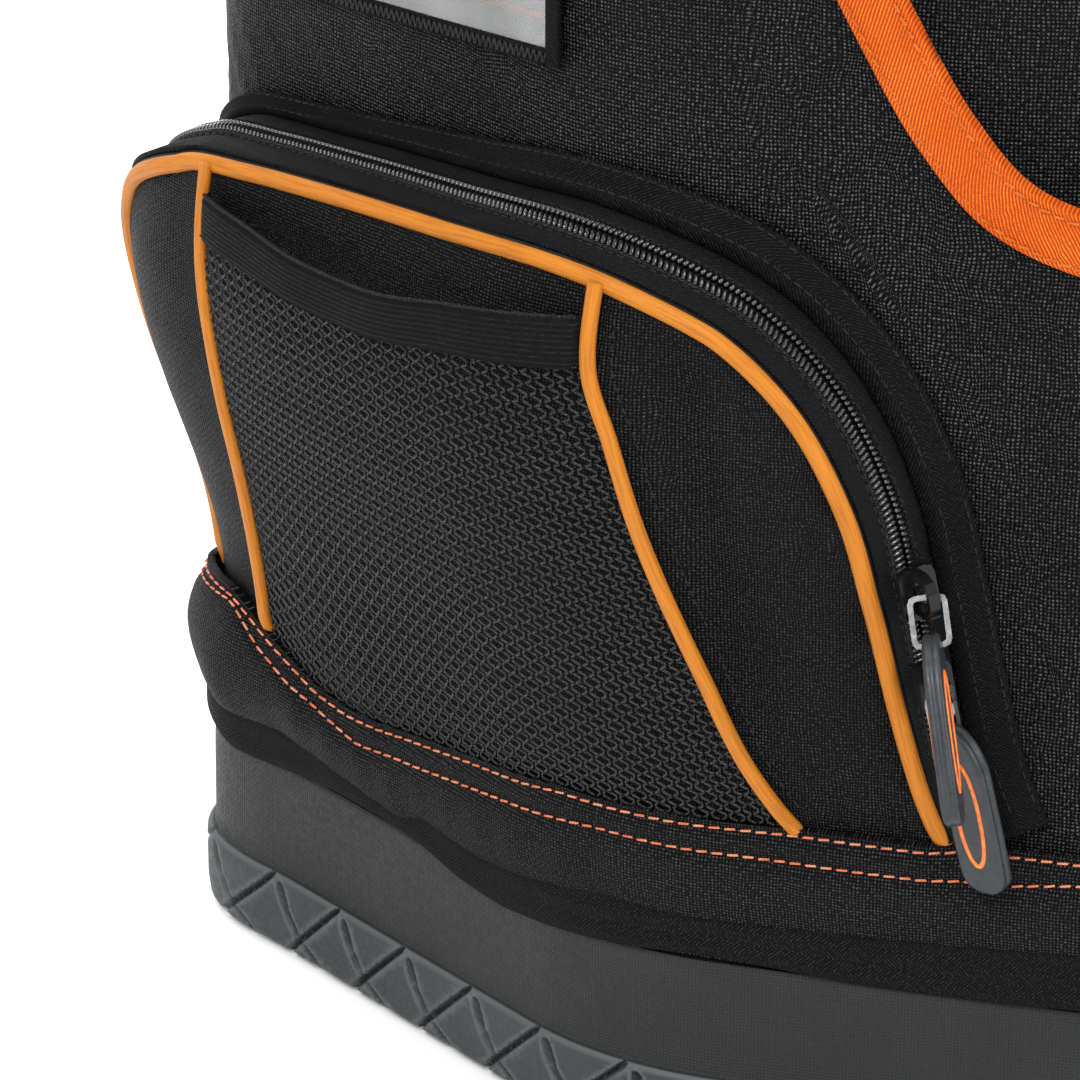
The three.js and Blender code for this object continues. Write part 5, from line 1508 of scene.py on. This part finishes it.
# ---------------------------------------------------------------- back
def puffed(o, pressure, cap, voxel=0.005):
    """Swells a closed pad with cloth and returns it with the result applied."""
    rem = o.modifiers.new("remesh", "REMESH")
    rem.mode = "VOXEL"
    rem.voxel_size = voxel
    bpy.context.view_layer.objects.active = o
    o.select_set(True)
    bpy.ops.object.modifier_apply(modifier="remesh")
    start = np.array([v.co for v in o.data.vertices])
    cl = o.modifiers.new("cloth", "CLOTH")
    s = cl.settings
    s.quality = 5
    s.mass = 0.3
    s.tension_stiffness = s.compression_stiffness = 25
    s.shear_stiffness = 12
    s.bending_stiffness = 2
    s.use_pressure = True
    s.uniform_pressure_force = pressure
    s.effector_weights.gravity = 0
    cl.collision_settings.use_self_collision = False
    cl.point_cache.frame_start, cl.point_cache.frame_end = 1, 20
    scene = bpy.context.scene
    for f in range(1, 21):
        scene.frame_set(f)
    dg = bpy.context.evaluated_depsgraph_get()
    new = np.array([v.co for v in o.evaluated_get(dg).data.vertices])
    o.modifiers.remove(cl)
    scene.frame_set(1)
    move = new - start
    size = np.linalg.norm(move, axis=1, keepdims=True)
    move = move * np.minimum(1, cap * 0.001 / np.maximum(size, 1e-9))
    co = start + move
    o.data.vertices.foreach_set("co", co.ravel())
    o.data.update()
    o.select_set(False)
    return o


def rounded_box(x, z, wide, high, radius, y0, y1, n=16):
    """A pad's closed form: a rounded rectangle with soft edges."""
    corner = []
    for cx, cz, a0 in ((1, -1, -90), (1, 1, 0), (-1, 1, 90), (-1, -1, 180)):
        for k in range(n + 1):
            a = math.radians(a0 + 90 * k / n)
            corner.append((cx * (wide / 2 - radius) + radius * math.cos(a),
                           cz * (high / 2 - radius) + radius * math.sin(a)))
    ring = np.array(corner)
    out = []
    for inset, y in ((0.6, y0), (0.0, y0 + 1.2), (0.0, mix(y0, y1, 0.45)), (0.8, mix(y0, y1, 0.75)), (2.6, y1 - 0.7),
                     (6, y1)):
        k = 1 - inset / np.maximum(np.linalg.norm(ring, axis=1, keepdims=True), 1)
        p = ring * k
        out.append(np.stack([x + p[:, 0], np.full(len(p), y), z + p[:, 1]], -1))
    points = np.array(out)
    m = points.shape[1]
    uv = np.stack(np.meshgrid(np.arange(m + 1) * 2.0, np.arange(len(out)) * 3.0), -1)
    co, quads, uvs = grid(points, uv, wrap=True)
    k = len(co)
    co = np.vstack([co, [[x, y0, z]], [[x, y1, z]]])
    tri = np.vstack([fan(0, m, k, True), fan((len(out) - 1) * m, m, k + 1)])
    return Build().add(co, [quads, tri], [uvs, np.zeros((len(tri), 3, 2))]), ring


def sewn(o, channels, depth, width, y_min):
    """Presses sewn channels into a pad's outer face."""
    co = np.array([v.co for v in o.data.vertices]) * 1000
    co[:, 1] -= SHIFT_Y
    face = smooth(co[:, 1], y_min, y_min + 5)
    press = np.zeros(len(co))
    for line in channels:
        d = line(co[:, 0], co[:, 2])
        press = np.maximum(press, depth * np.exp(-(d / width) ** 2))
    co[:, 1] -= press * face
    o.data.vertices.foreach_set("co", place(co).ravel())
    o.data.update()


def back_pad(label, x, z, wide, high, y1, channels, node):
    build, ring = rounded_box(x, z, wide - 3, high - 3, 16, BACK_Y + 0.4, y1 - 2.2)
    o = build.make(f"pad_{label}", air_mesh)
    o = puffed(o, 4.0, 2.4)
    sub = o.modifiers.new("smooth", "SUBSURF")
    sub.levels = sub.render_levels = 1
    bpy.context.view_layer.objects.active = o
    bpy.ops.object.modifier_apply(modifier="smooth")
    sewn(o, channels, 4.6, 2.6, BACK_Y + 5)
    o.data.materials.clear()
    o.data.materials.append(air_mesh)
    o.data.polygons.foreach_set("use_smooth", np.ones(len(o.data.polygons), bool))
    done(o, "bag", [node], "pad_cloth")
    # Binding round the pad's foot
    path = np.stack([x + ring[:, 0], np.full(len(ring), BACK_Y + 1.6), z + ring[:, 1]], -1)
    n = np.tile([0, 1.0, 0], (len(path), 1))
    b = Build().add(*tube(path, n, oval(1.1, 1.5, 8), closed=True))
    done(b.make(f"pad_binding_{label}", webbing_cloth), "bag", [], "pad_cloth")


def backs():
    for label, x in (("left", -44.0), ("right", 44.0)):
        sign = 1 if x > 0 else -1
        lines = [lambda X, Z, k=k, s=sign, x0=x: Z - (247 + k * 44 - 0.35 * s * (X - x0))
                 for k in (-1.45, -0.5, 0.5, 1.45)]
        back_pad(label, x, 247.0, 74.0, 190.0, BACK_Y + 14.3, lines, f"back_pad_{label}")
    lines = [lambda X, Z, x0=x0: X - x0 for x0 in (-46, 0, 46)]
    back_pad("lumbar", 0.0, 117.0, 184.0, 48.0, BACK_Y + 15.3, lines, "lumbar_pad")


STRAP_ROUTE = [(50, 119.7, 392), (51, 139, 397), (54, 154, 388), (59, 161, 362), (66, 164, 320), (77, 163, 270),
               (91, 158, 222), (96, 154, 204), (96.5, 152, 192)]


def straps():
    for label, side in (("left", -1), ("right", 1)):
        c = Curve([(side * x, y, z) for x, y, z in STRAP_ROUTE])
        t = np.linspace(0, 1, 150)
        path, g = c.at(t), c.tangent(t)
        n = np.cross(np.tile([1.0, 0, 0], (len(t), 1)), g)
        n = unit(n)
        width = np.interp(t, [0, 0.1, 0.8, 0.93, 1], [59, 60, 60, 52, 40])
        high = np.interp(t, [0, 0.05, 0.9, 0.97, 1], [8, 10.6, 10.6, 8, 5])
        w = np.arange(40) / 40 * 2 * PI
        cw, sw = np.cos(w), np.sin(w)
        sec = np.stack([high[:, None] / 2 * signed_power(cw, 0.6),
                        width[:, None] / 2 * signed_power(sw, 0.42)], -1)
        rng = ripple(path, 30, 81 + side)[:, None] * 0.3
        sec[..., 0] += rng * np.abs(cw)[None]
        # Sewn line inside each edge
        edge = np.abs(np.abs(sec[..., 1]) - (width[:, None] / 2 - 7))
        sec[..., 0] *= 1 - 0.22 * np.exp(-(edge / 1.4) ** 2)
        build = Build().add(*tube(path, n, sec))
        across = np.cross(g, n)
        for k in (-1, 1):
            for face in (1, -1):
                p = path + n * (face * high[:, None] / 2 * 0.82) + across * (k * (width[:, None] / 2 - 7))
                stitches(build, p[3:-3], n[3:-3] * face, 3.2, 2.3, 0.28, 1)
            p = path + across * (k * (width[:, None] / 2 + 0.1))
            build.add(*tube(p[1:-1], n[1:-1], oval(2.6, 1.2, 10, 2.6)), mat=2)
        # Webbing sewn down the strap's outer face
        out = n * np.sign(n[len(n) // 2, 1])
        p = path + out * (high[:, None] / 2 + 0.45)
        sec2 = oval(0.8, 12.5, 40, 2 / 0.3)
        keep = slice(20, 146)
        build.add(*tube(p[keep], out[keep], sec2), mat=2)
        for k in (-1, 1):
            pp = p + out * 0.85 + across * (k * 10.4)
            stitches(build, pp[22:144], out[22:144], 3.2, 2.3, 0.28, 1)
        o = build.make(f"strap_{label}", [strap_cloth, thread_and_shade_black, webbing_cloth], 60)
        done(o, "bag", [f"shoulder_strap_{label}"], "pad_cloth")


def yoke():
    x = np.linspace(-95, 95, 60)
    z = np.linspace(356, 406, 24)
    X, Z = np.meshgrid(x, z)
    y = BACK_Y - inset_at(Z) + 0.3
    d = np.minimum(np.minimum(X + 95, 95 - X), np.minimum(Z - 356, 406 - Z))
    rise = 3.0 * (0.3 + 0.7 * rounded(d, 2.2))
    rise = rise - 0.5 * np.exp(-((d - 5) / 0.9) ** 2)
    P = np.stack([X, y, Z], -1)
    outer = np.stack([X, y + rise + 0.15 * ripple(P, 18, 91), Z], -1)
    inner = np.stack([X, y, Z], -1)
    build = Build().add(*sheet(outer, inner, np.stack([X, Z], -1)))
    ring = np.array([(-90, 361), (90, 361), (90, 401), (-90, 401), (-90, 361)], float)
    for a, b in zip(ring[:-1], ring[1:]):
        m = np.linspace(0, 1, 40)[:, None]
        q = a + (b - a) * m
        yy = BACK_Y - inset_at(q[:, 1]) + 0.3 + 2.6
        p = np.stack([q[:, 0], yy, q[:, 1]], -1)
        stitches(build, p, np.tile([0, 1.0, 0.2], (40, 1)), 3.2, 2.3, 0.28, 1)
    done(build.make("yoke", [webbing_cloth, thread_and_shade_black]), "bag", ["strap_yoke"], "woven_tape")


def strap_webbing():
    end, before = np.array(STRAP_ROUTE[-1], float), np.array(STRAP_ROUTE[-2], float)
    down = np.array([0, end[1] - before[1], end[2] - before[2]])
    down /= np.linalg.norm(down)
    off = np.cross([1.0, 0, 0], down)
    slot = (26 - 3 * 4.5) / 2
    clear = 2 + 0.8 + 0.7
    inner = (slot + 4.5) / 2 - 0.8
    for label, side in (("left", -1), ("right", 1)):
        centre = np.array([side * end[0], end[1], end[2]]) + down * (0.5 + 13)
        at = lambda a, o: centre + down * a + off * o
        pts = [at(58, 7), at(32, clear + 2.5), at(15, clear + 0.2), at(inner + 4.6, clear),
               at(inner + 1.4, clear * 0.7), at(inner, 0), at(inner + 1.4, -clear * 0.7), at(inner + 4.6, -clear),
               at(15, -clear - 0.2), np.array([side * 116, 131, 126]), np.array([side * 126, 124.4, 106]),
               np.array([side * 129, 123.7, 96]), np.array([side * 130, 123.7, 85])]
        c = Curve(pts)
        t = np.linspace(0, 1, 220)
        path, g = c.at(t), c.tangent(t, 0.006)
        n = np.cross(np.tile([1.0, 0, 0], (len(t), 1)), g)
        n = unit(n)
        build = Build().add(*tube(path, n, oval(0.8, 12.5, 32, 2 / 0.3)))
        across = np.cross(g, n)
        for k in (0.02, 0.05):
            i = int(k * 220)
            m = np.linspace(-10, 10, 12)[:, None]
            pp = path[i] + across[i] * m + n[i] * 0.9
            stitches(build, pp, np.tile(n[i], (12, 1)), 2.6, 1.9, 0.26, 1)
        done(build.make(f"webbing_{label}", [webbing_cloth, thread_and_shade_black], 60), "bag", [f"strap_webbing_{label}"],
             "woven_tape")


# ---------------------------------------------------------------- stage, light and camera
def stage():
    bpy.ops.mesh.primitive_plane_add(size=14, location=(0, 0, -0.0004))
    floor = bpy.context.object
    floor.name = "floor"
    s = Shade("floor_white", (0.9, 0.9, 0.9), 0.9, spec=0.1)
    *_, p = s.pos()
    s.color(s.blend(s.span(s.noise(p, 400, 2.0), 0.3, 0.7), (0.89, 0.89, 0.89), (0.91, 0.91, 0.91)))
    floor.data.materials.append(s.m)
    world = bpy.data.worlds.new("studio")
    bpy.context.scene.world = world
    world.use_nodes = True
    world.node_tree.nodes["Background"].inputs[0].default_value = (1, 1, 1, 1)
    world.node_tree.nodes["Background"].inputs[1].default_value = 0.85

    def lamp(name, pos, target, size, power, tint=(1, 1, 1)):
        data = bpy.data.lights.new(name, "AREA")
        data.shape = "RECTANGLE"
        data.size, data.size_y = size
        data.energy = power
        data.color = tint
        o = bpy.data.objects.new(name, data)
        o.location = pos
        d = Vector(target) - Vector(pos)
        o.rotation_euler = d.to_track_quat("-Z", "Y").to_euler()
        bpy.context.scene.collection.objects.link(o)

    lamp("key", (-1.5, -0.9, 1.7), (-0.1, 0, 0.2), (1.0, 1.0), 46)
    lamp("fill", (0.9, -1.9, 1.1), (0, 0, 0.2), (1.4, 1.0), 22)
    lamp("top", (0.1, 0.3, 2.1), (0, 0, 0.2), (1.6, 1.6), 30)
    lamp("back", (0.6, 1.9, 1.2), (0, 0, 0.25), (1.4, 1.0), 22)

    cam = bpy.data.cameras.new("camera")
    cam.lens, cam.sensor_width = 200, 36
    cam.clip_start, cam.clip_end = 0.05, 60
    o = bpy.data.objects.new("camera", cam)
    bpy.context.scene.collection.objects.link(o)
    target = Vector((-0.1865, -0.0341, 0.1394))
    a, e = math.radians(-40), math.radians(25)
    o.location = target + 1.2 * Vector((math.sin(a) * math.cos(e), -math.cos(a) * math.cos(e), math.sin(e)))
    o.rotation_euler = (target - o.location).to_track_quat("-Z", "Y").to_euler()
    bpy.context.scene.camera = o
    view = bpy.context.scene.view_settings
    view.view_transform = "Standard"
    view.look = "None"
    view.exposure = 0.0


stage()
bag_shell()
outer_cloth()
scoop_tape()
tray()
tape_of_tray()
skirt()
for label, side in (("left", 1), ("right", -1)):
    side_pocket(label, side)
card_holder()
metal_parts()
main_zip()
handle()
yoke()
backs()
straps()
strap_webbing()
